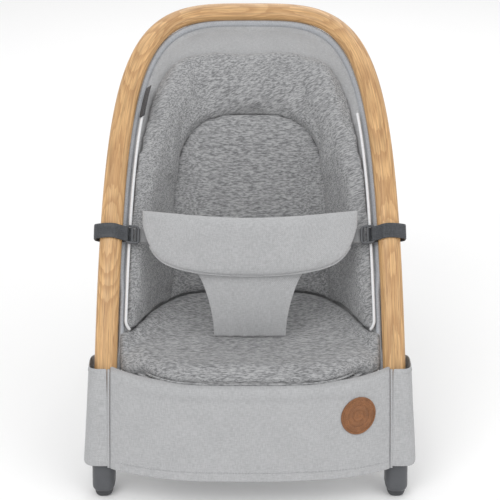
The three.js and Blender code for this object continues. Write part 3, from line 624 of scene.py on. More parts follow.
def build_groups():
    """The effects that several finishes share."""
    # plain weave: over and under threads, with slubs and a soft unevenness of tone
    tree, take, give = new_group(
        "plain_weave", [PLACE, ("Pitch", "NodeSocketFloat", 0.0011)], ["Height", "Tone"])
    scaled = tree.vector("SCALE", take["Place"])
    turns = tree.sum("DIVIDE", math.pi, take["Pitch"])
    tree.join(turns, scaled.node.inputs["Scale"])
    parts = tree.node("ShaderNodeSeparateXYZ", scaled).outputs
    warp = tree.sum("SINE", parts[0])
    weft = tree.sum("SINE", parts[1])
    crossing = tree.sum("MULTIPLY_ADD", tree.sum("MULTIPLY", warp, weft), 0.5, 0.5)
    slub = tree.noise(tree.vector("MULTIPLY", take["Place"], (140, 900, 900)), 1.0, 2)
    slub_up = tree.noise(tree.vector("MULTIPLY", take["Place"], (900, 140, 900)), 1.0, 2)
    threads = tree.sum("ADD", slub, slub_up)
    tree.join(tree.sum("MULTIPLY_ADD", threads, 0.35, crossing), give["Height"])
    soft = tree.noise(take["Place"], 26.0, 3)
    unevenness = tree.sum("MULTIPLY_ADD", soft, 0.4, 0.3)
    tone = tree.sum("MULTIPLY_ADD", tree.sum("SUBTRACT", threads, 1.0), 1.3, unevenness)
    tree.join(tone, give["Tone"])

    # heather jersey: light and dark fibres drawn out into short streaks
    tree, take, give = new_group(
        "heather", [PLACE, ("Long", "NodeSocketFloat", 0.0040), ("Fine", "NodeSocketFloat", 0.0010)],
        ["Light", "Height"])
    size = tree.node("ShaderNodeCombineXYZ", take["Long"], take["Fine"], take["Fine"])
    drawn = tree.vector("DIVIDE", take["Place"], size)
    streak = tree.noise(drawn, 0.62, 3, 0.62)
    broad = tree.noise(tree.vector("ADD", drawn, (31.0, 7.0, 3.0)), 0.26, 2)
    fleck = tree.sum("MULTIPLY_ADD", broad, 0.24, streak)
    tree.join(tree.between(fleck, 0.40, 0.84), give["Light"])
    loops = tree.noise(take["Place"], 1300.0, 1)
    tree.join(tree.sum("MULTIPLY_ADD", streak, 1.4, loops), give["Height"])

    # oak: rings round a drifting heart, so that they open into long flames, and fine pores
    tree, take, give = new_group(
        "oak_grain", [PLACE, ("Ring", "NodeSocketFloat", 0.0036)], ["Ring", "Streak", "Pore"])
    slow = tree.vector("MULTIPLY", take["Place"], (6.0, 6.0, 4.6))
    drift = tree.noise(slow, 1.0, 2, 0.4)
    wander = tree.noise(tree.vector("ADD", slow, (5.0, 9.0, 2.0)), 1.4, 1)
    offset = tree.node("ShaderNodeCombineXYZ", tree.sum("MULTIPLY_ADD", drift, 0.020, -0.010),
                       tree.sum("MULTIPLY_ADD", wander, 0.030, 0.001), 0.0)
    from_heart = tree.vector("ADD", take["Place"], offset)
    flat = tree.vector("MULTIPLY", from_heart, (1.0, 1.35, 0.0))
    distance = tree.node("ShaderNodeVectorMath", flat, operation="LENGTH").outputs["Value"]
    shake = tree.noise(tree.vector("MULTIPLY", take["Place"], (330, 330, 30)), 1.0, 3)
    rings = tree.sum("MULTIPLY_ADD", shake, 0.9, tree.sum("DIVIDE", distance, take["Ring"]))
    saw = tree.sum("FRACT", rings)
    late = tree.sum("MULTIPLY", tree.between(saw, 0.25, 0.92), tree.between(saw, 1.0, 0.93))
    tree.join(late, give["Ring"])
    streak = tree.noise(tree.vector("MULTIPLY", take["Place"], (520, 520, 13)), 1.0, 3, 0.65)
    tree.join(streak, give["Streak"])
    pore = tree.noise(tree.vector("MULTIPLY", take["Place"], (950, 950, 48)), 1.0, 2)
    tree.join(tree.between(pore, 0.56, 0.70), give["Pore"])

    # wear: soft cloudy rubbing with a few fine scratches
    tree, take, give = new_group("handling", [PLACE], ["Rub", "Scratch"])
    cloud = tree.noise(take["Place"], 60.0, 4, 0.6)
    tree.join(tree.between(cloud, 0.35, 0.75), give["Rub"])
    cut = tree.noise(tree.vector("MULTIPLY", take["Place"], (90, 1400, 500)), 1.0, 2)
    tree.join(tree.between(cut, 0.70, 0.74), give["Scratch"])

    # moulded grain: the fine even texture of a tool-finished plastic, rubber or coat
    tree, take, give = new_group("moulded_grain", [PLACE, ("Scale", "NodeSocketFloat", 1500.0)], ["Height"])
    tree.join(tree.noise(take["Place"], take["Scale"], 2, 0.55), give["Height"])


def new_finish(name):
    """A new material, the tree to build its nodes in, and its surface shader's inputs."""
    material = bpy.data.materials.new(name)
    material.use_nodes = True
    tree = Tree(material.node_tree)
    shader = material.node_tree.nodes["Principled BSDF"]
    return material, tree, shader.inputs


def finish(build):
    """Builds a material the first time that it is asked for, and hands the same one out after."""
    made = {}

    def get(*args):
        if args not in made:
            made[args] = build(*args)
        return made[args]
    return get


def colour_of(name, share=1.0):
    return (*(c * share for c in getattr(bpy.context.scene.bouncer_colours, name)), 1.0)


def shade(colour, share, plus=0.0):
    """A colour made darker or lighter by a share of itself and a little more."""
    return tuple(min(c * share + plus, 1) for c in colour[:3]) + (1,)


def object_place(tree):
    return tree.node("ShaderNodeTexCoord").outputs["Object"]


def straight_place(tree):
    return tree.node("ShaderNodeAttribute", attribute_name="straight").outputs["Vector"]


@finish
def oak_finish():
    material, tree, shader = new_finish("oiled_oak")
    grain = tree.group("oak_grain", Place=straight_place(tree))
    pale = tree.mix(tree.between(grain["Streak"], 0.3, 0.72), colour_of("oak_light", 1.10),
                    colour_of("oak_light", 0.62))
    late = tree.mix(tree.sum("MULTIPLY", grain["Ring"], 0.50), pale, colour_of("oak_dark"))
    tree.join(tree.mix(tree.sum("MULTIPLY", grain["Pore"], 0.52), late, colour_of("oak_dark", 0.8)),
              shader["Base Color"])
    tree.join(tree.sum("MULTIPLY_ADD", grain["Ring"], 0.10, 0.40), shader["Roughness"])
    height = tree.sum("MULTIPLY_ADD", grain["Pore"], -0.8, tree.sum("MULTIPLY", grain["Ring"], 0.35))
    tree.join(tree.bump(height, 0.00018, 0.6), shader["Normal"])
    shader["Coat Weight"].default_value = 0.12
    shader["Coat Roughness"].default_value = 0.35
    return material


def woven(name, colour, place, pitch, depth, rough=0.88, spread=0.10):
    """A plain-woven cloth of one colour, with painted shade in the hollows between its threads."""
    material, tree, shader = new_finish(name)
    weave = tree.group("plain_weave", Place=place(tree), Pitch=pitch)
    tone = tree.between(weave["Tone"], 0.15, 0.85)
    base = tree.mix(tone, shade(colour, 1 - spread), shade(colour, 1 + spread))
    # painted shade: where the weave lies low, between the threads, the cloth's colour is made a fifth
    # darker
    gap_shade_mask = tree.between(weave["Height"], 0.15, 0.55)
    tree.join(tree.mix(gap_shade_mask, shade(colour, 0.80), base), shader["Base Color"])
    tree.join(tree.bump(weave["Height"], depth, 0.7), shader["Normal"])
    shader["Roughness"].default_value = rough
    shader["Sheen Weight"].default_value = 0.12
    shader["Sheen Roughness"].default_value = 0.5
    shader["Specular IOR Level"].default_value = 0.25
    return material


@finish
def cloth_finish():
    return woven("light_grey_weave", colour_of("cloth"), straight_place, 0.00125, 0.00030)


@finish
def cloth_finish_solid():
    """The same weave for a closed pad, whose cloth lies square to the front."""
    def front_place(tree):
        parts = tree.node("ShaderNodeSeparateXYZ", object_place(tree)).outputs
        return tree.node("ShaderNodeCombineXYZ", parts[0], parts[2], parts[1]).outputs[0]
    return woven("light_grey_weave_flap", colour_of("cloth"), front_place, 0.00125, 0.00030)


# painted light: the seat cloth's weave in the lighter, cooler grey that paints the highlight and cool shade
# on the rolled rim
@finish
def rim_painted_light_finish():
    return woven("rim_weave", colour_of("rim"), straight_place, 0.0012, 0.0003, 0.7)


@finish
def piping_finish():
    return woven("white_piping", colour_of("piping"), straight_place, 0.0009, 0.0002, 0.75, 0.05)


@finish
def thread_finish():
    return woven("grey_thread", colour_of("thread"), object_place, 0.0005, 0.00015, 0.7)


@finish
def tab_finish():
    return woven("grey_tape", colour_of("cloth", 0.55), straight_place, 0.0012, 0.0003)


@finish
def heather_finish(turn):
    material, tree, shader = new_finish("heather_jersey")
    place = tree.node("ShaderNodeMapping", object_place(tree))
    place.inputs["Rotation"].default_value = (0, turn, 0)
    fibre = tree.group("heather", Place=place)
    middle = tree.noise(object_place(tree), 14.0, 2)
    light = tree.sum("MULTIPLY_ADD", middle, 0.22, tree.sum("SUBTRACT", fibre["Light"], 0.11))
    tree.join(tree.mix(light, colour_of("heather_dark"), colour_of("heather_light")), shader["Base Color"])
    tree.join(tree.bump(fibre["Height"], 0.00035, 0.7), shader["Normal"])
    shader["Roughness"].default_value = 0.92
    shader["Sheen Weight"].default_value = 0.18
    shader["Sheen Roughness"].default_value = 0.45
    shader["Specular IOR Level"].default_value = 0.2
    return material


@finish
def webbing_finish():
    material, tree, shader = new_finish("black_webbing")
    place = straight_place(tree)
    weave = tree.group("plain_weave", Place=place, Pitch=0.0010)
    across = tree.node("ShaderNodeSeparateXYZ", place).outputs[0]
    ribs = tree.sum("SINE", tree.sum("MULTIPLY", across, 2 * math.pi / 0.0024))
    tone = tree.between(weave["Tone"], 0.1, 0.9)
    tree.join(tree.mix(tone, colour_of("webbing"), colour_of("webbing", 2.4)), shader["Base Color"])
    tree.join(tree.bump(tree.sum("MULTIPLY_ADD", ribs, 0.5, weave["Height"]), 0.0003), shader["Normal"])
    tree.join(tree.sum("MULTIPLY_ADD", tone, 0.2, 0.38), shader["Roughness"])
    shader["Sheen Weight"].default_value = 0.25
    return material


def moulded(name, colour, rough, scale, depth, metal=0.0, coat=0.0):
    """A smooth moulded, painted or plated surface with fine grain and a little wear."""
    material, tree, shader = new_finish(name)
    place = object_place(tree)
    wear = tree.group("handling", Place=place)
    base = tree.mix(tree.sum("MULTIPLY", wear["Rub"], 0.35), colour, shade(colour, 1.35, 0.004))
    scratch = tree.sum("MULTIPLY", wear["Scratch"], 0.25)
    tree.join(tree.mix(scratch, base, shade(colour, 1.9, 0.01)), shader["Base Color"])
    tree.join(tree.sum("MULTIPLY_ADD", wear["Rub"], 0.14, rough - 0.05), shader["Roughness"])
    grain = tree.group("moulded_grain", Place=place, Scale=scale)
    tree.join(tree.bump(grain["Height"], depth, 0.5), shader["Normal"])
    shader["Metallic"].default_value = metal
    shader["Coat Weight"].default_value = coat
    return material


@finish
def plastic_finish():
    return moulded("dark_plastic", colour_of("plastic"), 0.42, 1600, 0.00012)


@finish
def rubber_finish():
    return moulded("black_rubber", colour_of("rubber"), 0.72, 900, 0.0002)


@finish
def painted_finish():
    return moulded("painted_steel", colour_of("steel"), 0.36, 1100, 0.00008, 0.25, 0.3)


@finish
def bright_finish():
    return moulded("zinc_steel", (0.62, 0.63, 0.65, 1), 0.30, 700, 0.00004, 1.0)


@finish
def leather_finish():
    material, tree, shader = new_finish("brown_leather")
    place = object_place(tree)
    cells = tree.node("ShaderNodeTexVoronoi", feature="DISTANCE_TO_EDGE")
    tree.join(place, cells.inputs["Vector"])
    cells.inputs["Scale"].default_value = 900
    crease_height_and_shade = tree.between(cells.outputs["Distance"], 0.0, 0.12)
    cloud = tree.noise(place, 120, 4, 0.6)
    base = tree.mix(tree.between(cloud, 0.3, 0.7), colour_of("leather", 0.85), colour_of("leather", 1.2))
    # painted shade: the crease lines between the grain's cells are darkened to about half the leather's
    # colour
    tree.join(tree.mix(crease_height_and_shade, colour_of("leather", 0.55), base), shader["Base Color"])
    tree.join(tree.bump(tree.sum("MULTIPLY_ADD", cloud, 0.6, crease_height_and_shade), 0.0002), shader["Normal"])
    tree.join(tree.sum("MULTIPLY_ADD", cloud, 0.2, 0.42), shader["Roughness"])
    return material


@finish
def floor_finish():
    material, tree, shader = new_finish("studio_floor")
    soft = tree.noise(object_place(tree), 1.5, 2)
    tree.join(tree.mix(soft, (0.90, 0.90, 0.90, 1), (0.93, 0.93, 0.93, 1)), shader["Base Color"])
    shader["Roughness"].default_value = 0.9
    return material


# ------------------------------------------------------------------ wood, feet, rails, leg and hinges
class MakePiece:
    """What all the operators share."""

    bl_options = {"REGISTER", "UNDO"}

    def execute(self, context):
        self.make(context.scene)
        return {"FINISHED"}


class BOUNCER_OT_arch(MakePiece, bpy.types.Operator):
    """Bend the oak arch from one foot over the head to the other"""

    bl_idname = "bouncer.arch"
    bl_label = "Oak Arch"

    def make(self, scene):
        sizes = scene.bouncer_frame
        at, length = Arch.frames()
        slim = TENON_SLIMMER * MM
        tenon = TENON_TOP * MM / length

        def size_at(k):
            less = slim if min(k, 1 - k) < tenon else 0
            return sizes.arch_half_wide - less, sizes.arch_half_deep - less

        steps = 300
        even = [i / steps for i in range(steps + 1) if tenon < i / steps < 1 - tenon]
        edge = 0.0001
        spots = [0, tenon - edge, tenon, *even, 1 - tenon, 1 - tenon + edge, 1]
        bm = bmesh.new()
        swept(bm, at, size_at, steps, sides=32, square=0.92, length=length, spots=spots)
        wood = new_piece("arch_wood", bm)
        finished(wood, oak_finish(), "seat_frame", "oak", "arch")


class BOUNCER_OT_feet(MakePiece, bpy.types.Operator):
    """Mould the front feet, their soft pads and the bolts"""

    bl_idname = "bouncer.feet"
    bl_label = "Front Feet"

    def make(self, scene):
        for hand, side in SIDES:
            x = side * ARCH_HALF_WIDTH
            low, high = 10, 66

            def foot_frame(k):
                y = lerp((-3 + 36) / 2, (12 + 56) / 2, k)
                return Frame(spot(x, y, lerp(low, high, k)), Vector((1, 0, 0)), Vector((0, 1, 0)))

            def foot_size(k):
                full = 1 - 0.16 * (1 - clamp(k / 0.10)) ** 2 - 0.05 * (1 - clamp((1 - k) / 0.04))
                return 14.5 * full * MM, lerp(19.5, 22, k) * full * MM

            bm = bmesh.new()
            spots = [0, 0.012, 0.03, 0.055, 0.085, 0.12, 0.3, 0.5, 0.7, 0.9, 0.97, 0.985, 1]
            swept(bm, foot_frame, foot_size, 12, sides=40, square=0.62, spots=spots)
            housing = new_piece(f"front_foot_{hand}", bm)
            finished(housing, plastic_finish(), "seat_frame", "dark_plastic", f"foot_housing_{hand}")

            levels = ((0, 7.4, 12.6), (0.5, 8.6, 13.6), (1.5, 9.9, 14.3), (3.2, 11, 14.8),
                      (5.5, 11.7, 15), (8.2, 12, 15), (9.2, 11.8, 14.8), (9.6, 11.4, 14.4))

            def pad_level(k):
                return spline(levels, k)

            def pad_frame(k):
                return Frame(spot(x, 18, pad_level(k)[0]), Vector((1, 0, 0)), Vector((0, 1, 0)))

            bm = bmesh.new()
            swept(bm, pad_frame, lambda k: (pad_level(k)[1] * MM, pad_level(k)[2] * MM), 21,
                  sides=36, square=0.6)
            sole = new_piece(f"front_sole_{hand}", bm)
            finished(sole, rubber_finish(), "seat_frame", "black_rubber", f"foot_pad_{hand}")
            dressed(f"rail_bolt_{hand}", bright_finish(), 0.0004)


class BOUNCER_OT_rails(MakePiece, bpy.types.Operator):
    """Finish the cross rail and the bowed rod under the seat's front edge"""

    bl_idname = "bouncer.rails"
    bl_label = "Cross Rails"

    def make(self, scene):
        low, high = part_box("front_cross_rail")
        middle = (low + high) / 2
        reach = (high.x - low.x) / 2
        at = along(lambda k: Vector((lerp(-reach, reach, k), middle.y, middle.z)), lambda k: (0, 0, 1))
        rail = bar("front_rail", at, (high.z - low.z) / 2, steps=24, sides=28, length=2 * reach)
        finished(rail, painted_finish(), "seat_frame", "grey_steel", "front_cross_rail")
        dressed("seat_front_rod", painted_finish())


def leg_chord():
    """The turn of the rear leg from folded to open, and the hinge's place, in the side view."""
    hub = Arch.profile(HUB_AT, -HUB_DEPTH)
    turned = LEG_LENGTH / (Arch.radius - HUB_DEPTH) * Arch.radius
    end = Arch.profile(HUB_AT + turned, -HUB_DEPTH)
    reach = math.dist(end[:2], hub[:2])
    folded = math.atan2(end[1] - hub[1], end[0] - hub[0])
    return hub, math.asin((CROSSBAR_Z - hub[1]) / reach) - folded


HUB, LEG_OPEN = leg_chord()
HUB_X = Arch.half_width(HUB_AT)


def leg_place(run, lift=0.0):
    """y, z and slope of the open leg run millimetres from its hinge."""
    y, z, angle = Arch.profile(HUB_AT + run / (Arch.radius - HUB_DEPTH) * Arch.radius, -HUB_DEPTH + lift)
    y, z = y - HUB[0], z - HUB[1]
    c, s = math.cos(LEG_OPEN), math.sin(LEG_OPEN)
    return HUB[0] + y * c - z * s, HUB[1] + y * s + z * c, angle + LEG_OPEN


def leg_line(k):
    """The centre line of the leg's tube, from the left hinge round the crossbar to the right one."""
    level = LEG_LENGTH - LEG_CORNER
    straight = level - LEG_START
    end_half = HUB_X - LEG_NARROWS * level - LEG_CORNER
    quarter = math.pi / 2 * LEG_CORNER
    hand = -1 if k < 0.5 else 1
    gone = (0.5 - abs(k - 0.5)) * 2 * (straight + quarter + end_half)
    if gone < straight:
        run = LEG_START + gone
        return spot(hand * (HUB_X - LEG_NARROWS * run), *leg_place(run)[:2])
    turn = min((gone - straight) / LEG_CORNER, math.pi / 2)
    past = max(gone - straight - quarter, 0)
    reach = end_half + LEG_CORNER * math.cos(turn) - past
    return spot(hand * reach, *leg_place(level + LEG_CORNER * math.sin(turn))[:2])


class BOUNCER_OT_rear_leg(MakePiece, bpy.types.Operator):
    """Bend the folding steel leg and slide its rubber feet on"""

    bl_idname = "bouncer.rear_leg"
    bl_label = "Rear Leg"

    def make(self, scene):
        slope = leg_place(LEG_LENGTH / 2)[2]
        facing = (0, -math.sin(slope), math.cos(slope))
        tube = bar("rear_leg_tube", along(leg_line, lambda k: facing), scene.bouncer_frame.leg_radius,
                   steps=220, sides=24, length=length_of(leg_line))
        finished(tube, painted_finish(), "rear_leg", "grey_steel", "rear_leg")
        y, z, _ = leg_place(LEG_LENGTH)
        for hand, side in SIDES:
            start = side * REAR_FOOT_X - REAR_FOOT_LONG / 2

            def foot_frame(k):
                return Frame(spot(start + REAR_FOOT_LONG * k, y, z), Vector((0, 1, 0)), Vector((0, 0, 1)))

            # ribbed grip: shallow grooves round the rubber, and soft ends
            ribs = [(0, 0.86), (0.03, 0.96), (0.08, 1)]
            for groove in (0.25, 0.42, 0.58, 0.75):
                ribs += [(groove - 0.03, 1), (groove - 0.015, 0.95), (groove + 0.015, 0.95),
                         (groove + 0.03, 1)]
            ribs += [(0.92, 1), (0.97, 0.96), (1, 0.86)]
            full = dict(ribs)
            bm = bmesh.new()
            radius, height, back = REAR_FOOT_RADIUS * MM, z * MM, spot(0, y, 0).y
            swept(bm, foot_frame, lambda k: (radius * full[k], radius * full[k]), 1, sides=40,
                  spots=[k for k, _ in ribs])
            for v in bm.verts:
                if v.co.z < height:
                    # the lower half stands square on a flat sole
                    across = (v.co.y - back) / radius
                    depth = clamp((height - v.co.z) / radius)
                    v.co.z = height - height * depth ** 0.55
                    v.co.y = back + radius * squared(across, 0.55) * (1 - 0.14 * depth ** 6)
            foot = new_piece(f"rear_sole_{hand}", bm)
            finished(foot, rubber_finish(), "rear_leg", "black_rubber", f"rear_foot_{hand}")


class BOUNCER_OT_hinges(MakePiece, bpy.types.Operator):
    """Finish the hinges: brackets, hubs, pins, lock gears, coil springs and release buttons"""

    bl_idname = "bouncer.hinges"
    bl_label = "Hinges"

    def make(self, scene):
        wire = scene.bouncer_frame.spring_wire
        hub = spot(0, HUB[0], HUB[1])
        for hand, side in SIDES:
            dressed(f"hub_bracket_{hand}", plastic_finish(), 0.0006)
            dressed(f"leg_hub_{hand}", plastic_finish(), 0.0006)
            dressed(f"hinge_pin_{hand}", bright_finish(), 0.0003)
            dressed(f"lock_gear_{hand}", bright_finish(), 0.0002)
            for where in ("lower", "upper"):
                dressed(f"bracket_screw_{hand}_{where}", bright_finish(), 0.0003)

            low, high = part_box(f"lock_spring_{hand}")
            coil = 6.5 * MM
            turns = 5.5

            def wound(k):
                around = 2 * math.pi * turns * k
                x = lerp(low.x + wire, high.x - wire, k)
                return Vector((x, hub.y + coil * math.cos(around), hub.z + coil * math.sin(around)))

            spring = bar(f"coil_spring_{hand}", along(wound, lambda k: (1, 0, 0), 0.002), wire,
                         steps=130, sides=8, length=length_of(wound, 200))
            finished(spring, bright_finish(), "rear_leg", "bright_steel", f"lock_spring_{hand}")

            # the button is bored from behind for the pin and dished in front for the thumb
            outline = ((0, 4.4), (4.8, 4.4), (4.8, 0), (9.4, 0), (9.4, 6.6), (9.2, 7.4), (8.6, 8.0),
                       (7.9, 8.2), (7.2, 8.1), (6.7, 7.6), (5.0, 7.0), (2.5, 6.7), (0, 6.6))
            bm = bmesh.new()
            turned(bm, outline, 40)
            seat = Matrix.Translation((side * (HUB_X + BUTTON_OUT) * MM, hub.y, hub.z))
            outwards = Matrix.Rotation(side * math.pi / 2, 4, "Y")
            bmesh.ops.transform(bm, matrix=seat @ outwards, verts=bm.verts)
            button = new_piece(f"thumb_button_{hand}", bm)
            finished(button, plastic_finish(), f"release_{hand}", "dark_plastic", f"release_button_{hand}")


# ------------------------------------------------------------------ seat cloth
class BOUNCER_OT_seat_cloth(MakePiece, bpy.types.Operator):
    """Hang the woven seat cloth and roll its rim round the rod behind the arch"""

    bl_idname = "bouncer.seat_cloth"
    bl_label = "Seat Cloth"

    def make(self, scene):
        sizes = scene.bouncer_cloth
        wrap, wrap_u, wrap_v = 8, 0.06, 0.02      # millimetres and shares of cloth turned over the rod

        def edge_turn(u, v):
            """How far round the arch's line, from 0 to 1, the cloth's edge nearest u and v is."""
            held = spline(STATIONS, v)[2]
            swing = math.asin((held / (Arch.length - SHELL_INSET)) ** (ARCH_SHOULDER / 2)) / math.pi
            return lerp(swing, 1 - swing, (u + 1) / 2)

        def hung(u, v):
            # the cloth is drawn a little between its clips, and its edge is turned over the rod
            u, v = u * (1 + wrap_u), v * (1 + wrap_v)
            inner_u, inner_v = clamp(u, -1, 1), min(v, 1)
            over = max((abs(u) - 1) / wrap_u, (v - 1) / wrap_v)
            pull = 0.6 * MM * abs(inner_u) ** 6 * math.sin(v * 46)
            drawn = Vector((0, pull, 0))
            if over <= 0:
                return seat_point(u, v) + drawn
            turn = edge_turn(inner_u, inner_v)
            lift = -RIM_DEPTH + 2.6 * math.sin(over * math.pi / 2)
            return Arch.outline(turn, SHELL_INSET - wrap * over, lift, 0)[0] + drawn

        flat = (0.36, 0.66)
        cloth = cloth_sheet("seat_cloth", hung, 72, 104, flat, 2 * sizes.thickness)
        finished(cloth, cloth_finish(), "seat_frame", "light_fabric", "seat_shell")

        at, length = Arch.frames(ROLL_INSET, -ROLL_DEPTH, ROLL_START)
        hinge = (HUB_AT - ROLL_START) * MM / length
        saddle = SADDLE_LONG * MM / length

        def beside_hinge(k):
            """How near a hinge's saddle is: 0 clear of it, 1 beside it."""
            return 1 - clamp((abs(min(k, 1 - k) - hinge) - saddle * 0.75) / (saddle * 0.5))

        def roll_frame(k):
            here = at(k)
            return Frame(here.point + here.side * 3.4 * beside_hinge(k) * MM, here.side, here.normal)

        def roll_size(k):
            # gathered a little over the shoulders
            wave = 0.12 * MM * noise.noise(Vector((k * 60, 0.5, 0)))
            wide = sizes.hem_radius * lerp(1.0, 0.78, beside_hinge(k))
            return wide + wave, sizes.hem_radius * 1.04 + wave

        bm = bmesh.new()
        swept(bm, roll_frame, roll_size, 300, sides=20, length=length)
        rim = new_piece("seat_rim", bm)
        finished(rim, rim_painted_light_finish(), "seat_frame", "light_fabric", "rim_rod")
        for where in ("lower_left", "upper_left", "upper_right", "lower_right"):
            dressed(f"rim_clip_{where}", plastic_finish(), 0.0004)


# ------------------------------------------------------------------ inlay
# The padded back, the bolster round it and the seat pad lie on the seat cloth.
# Each of the bolster's lines is a half-width, a top, and how square it is across and up.
PAD_FLOAT = 2.2
BACK_THICK = 8
BOLSTER_LOW = 0.381
BOLSTER_OUTER = (1.010, 0.884, 10.0, 6.5)
BOLSTER_INNER = (0.70, 0.765, 2.6, 9.0)
BACK_LOW = 0.378


def inlay_edge(u, v, lift):
    """A place beside the inlay's edge, lift millimetres in front of the plane of the cloth's rim."""
    held = spline(STATIONS, v)[2]
    y, z, _ = Arch.profile(held, lift - RIM_DEPTH)
    return spot(u * Arch.half_width(held, SHELL_INSET), y, z)


def inlay_back(u, v):
    """Under the back cushion, which fills the inside of the bolster and tucks a little under it."""
    half, top, across, rise = BOLSTER_INNER
    up = v * 0.99
    narrowed = (1 - up ** rise) ** (1 / across)
    return seat_point(u * (half + 0.02) * narrowed, lerp(BACK_LOW, top + 0.005, up))


def bolster_point(a, b):
    """A point under the bolster: a from -1 at its outer edge to 1 at its inner, b from foot to foot."""
    swing = math.pi * b

    def line(half, top, side_power, rise_power):
        across = squared(math.cos(swing), 2 / side_power)
        up = max(math.sin(swing), 0) ** (2 / rise_power)
        return -half * across, lerp(BOLSTER_LOW, top, up)

    outer, inner = line(*BOLSTER_OUTER), line(*BOLSTER_INNER)
    inwards = (a + 1) / 2
    return seat_point(lerp(outer[0], inner[0], inwards), lerp(outer[1], inner[1], inwards))


SEAT_HALF = 169


def seat_pad_point(u, v):
    """The seat pad's base: rounded front corners, and a little wider than the cloth it lies on."""
    y, z, held, square = spline(STATIONS, lerp(0, 0.376, v))
    corner = 1 - 0.040 * (1 - clamp(v / 0.30)) ** 2.6
    x = u * SEAT_HALF * corner
    share = abs(x) / Arch.half_width(held, SHELL_INSET)
    edge_y, edge_z, _ = Arch.profile(held, -RIM_DEPTH)
    rise = min(share, 1) ** square
    front = 12 * (1 - clamp(v / 0.12)) ** 2 * abs(u) ** 5
    return spot(x, lerp(y, edge_y, rise) + front, lerp(z, edge_z, rise))


class BOUNCER_OT_inlay(MakePiece, bpy.types.Operator):
    """Stuff and sew the heather inlay: back pad, bolster, seat pad, piping and a blank side tag"""

    bl_idname = "bouncer.inlay"
    bl_label = "Padded Inlay"

    def make(self, scene):
        sizes = scene.bouncer_cloth
        base = PAD_FLOAT * MM

        def soft(piece, surface, voxel, cap, pressure, slack, fill):
            filled(piece, surface, base, voxel, cap, pressure, slack)
            subdivided(piece)

        back = pad("back_cushion", inlay_back, base,
                   pad_height((PAD_FLOAT + BACK_THICK) * MM, (PAD_FLOAT + 5.5) * MM), 40, 48)
        finished(back, heather_finish(0.0), "seat_frame", "heather_jersey", "back_pad")
        soft(back, inlay_back, 0.0045, 0.003, 3.0, 0.02, 0.4)

        rounded = pad_height(PAD_FLOAT * MM + sizes.bolster_height, (PAD_FLOAT + 6) * MM, 5, 0.5)

        def bolster_height(a, b):
            crease = 1.6 * MM * hump(b - 0.006 * (a + 1), 0.468, 0.006) * clamp(a)
            return rounded(a, b) - crease

        bolster = pad("head_bolster_pad", bolster_point, base, bolster_height, 20, 130)
        finished(bolster, heather_finish(0.42), "seat_frame", "heather_jersey", "head_bolster")
        soft(bolster, bolster_point, 0.0040, 0.004, 2.6, 0.03, 0.65)

        rounded_seat = pad_height(sizes.seat_height, 8.5 * MM, 7, 0.5)

        def seat_height(u, v):
            dip = 1.5 * MM * hump(u, 0.0, 0.5) * hump(v, 0.55, 0.3)
            return rounded_seat(u, v) - dip

        seat = pad("seat_cushion", seat_pad_point, base, seat_height, 48, 30)
        finished(seat, heather_finish(0.0), "seat_frame", "heather_jersey", "seat_pad")
        soft(seat, seat_pad_point, 0.0045, 0.004, 3.0, 0.02, 0.6)

        self.pipe_edges(sizes)
        self.sew()
        self.tag()

    def pipe_edges(self, sizes):
        for hand, side in SIDES:
            def path(k):
                # up the side of the inlay, tucked in under the bolster at its foot
                tuck = (1 - clamp(k / 0.07)) ** 2
                v = lerp(0.392, 0.785, k) - 0.006 * tuck
                return inlay_edge(side * lerp(1.006, 0.975, tuck), v, lerp(9.2, 4.0, tuck))

            at = along(path, lambda k: normal_of(seat_point, side * 0.985, lerp(0.392, 0.785, k)), 0.01)
            piece = bar(f"inlay_piping_{hand}", at, sizes.piping_radius, steps=110, sides=12,
                        length=length_of(path))
            finished(piece, piping_finish(), "seat_frame", "piping", f"piping_{hand}")

        def front(k):
            u = lerp(-0.94, 0.94, k)
            return off(seat_pad_point, u, 0.0, 4.6 * MM) + Vector((0, -1.6 * MM, 0))

        cord = bar("seat_cushion_piping", along(front, lambda k: (0, -0.3, 1), 0.01), 0.0016, steps=120,
                   sides=10, length=length_of(front))
        finished(cord, heather_finish(0.0), "seat_frame", "heather_jersey")

    def sew(self):
        top = 8.2 * MM

        def row(k):
            return off(seat_pad_point, lerp(-0.92, 0.92, k), 0.012, top) + Vector((0, -0.2 * MM, 0))

        stitches("seat_front_stitching", row, lambda k: (0, -0.5, 1), 78)

    def tag(self):
        def label(u, v):
            lift = 13.0 - 3.5 * u + math.sin(math.pi * v)
            return inlay_edge(-1.000 - 0.028 * u, lerp(*TAG_V, v), lift)

        tag = cloth_sheet("blank_side_tag", label, 6, 12, (0.008, 0.030), 0.0011)
        finished(tag, webbing_finish(), "seat_frame", "webbing", "side_tag")


# ------------------------------------------------------------------ skirt
def arch_front(z):
    """How far forward the arch's face is at a height."""
    s = next(i for i in range(400) if Arch.profile(i)[1] >= z)
    y, _, angle = Arch.profile(s)
    return y - ARCH_HALF_DEPTH / math.sin(angle)


ARCH_FRONTS = {z: arch_front(z) for z in range(30, 190)}


def seam_front(z):
    low = int(z)
    return lerp(ARCH_FRONTS[low], ARCH_FRONTS[low + 1], z - low) - SEAM_AHEAD


def skirt_point(u, v):
    """The outer face of the skirt's front panel, turned over the front rod at its top."""
    z = lerp(HEM_Z, SKIRT_TOP_Z, min(v, 1))
    side = seam_front(z)
    middle = lerp(-29, 1, min(v, 1) ** 0.8)
    out = lerp(middle, max(side, middle), abs(u) ** 3.2)
    # cloth pulled over the rod: a soft roll, then a shallow hollow under it
    out -= (1.5 * hump(z, 150, 5) - 1.1 * hump(z, 139, 4.5)) * (1 - abs(u) ** 8)
    out -= 0.9 * hump(z, HEM_Z, 9)
    wave = noise.noise(Vector((u * 2.6, z * 0.016, 1.7)))
    out += 1.4 * wave * (1 - abs(u) ** 6)
    over = max(v - 1, 0)
    return spot(u * SEAM_X, out + 130 * over, z + 26 * over - 240 * over * over)


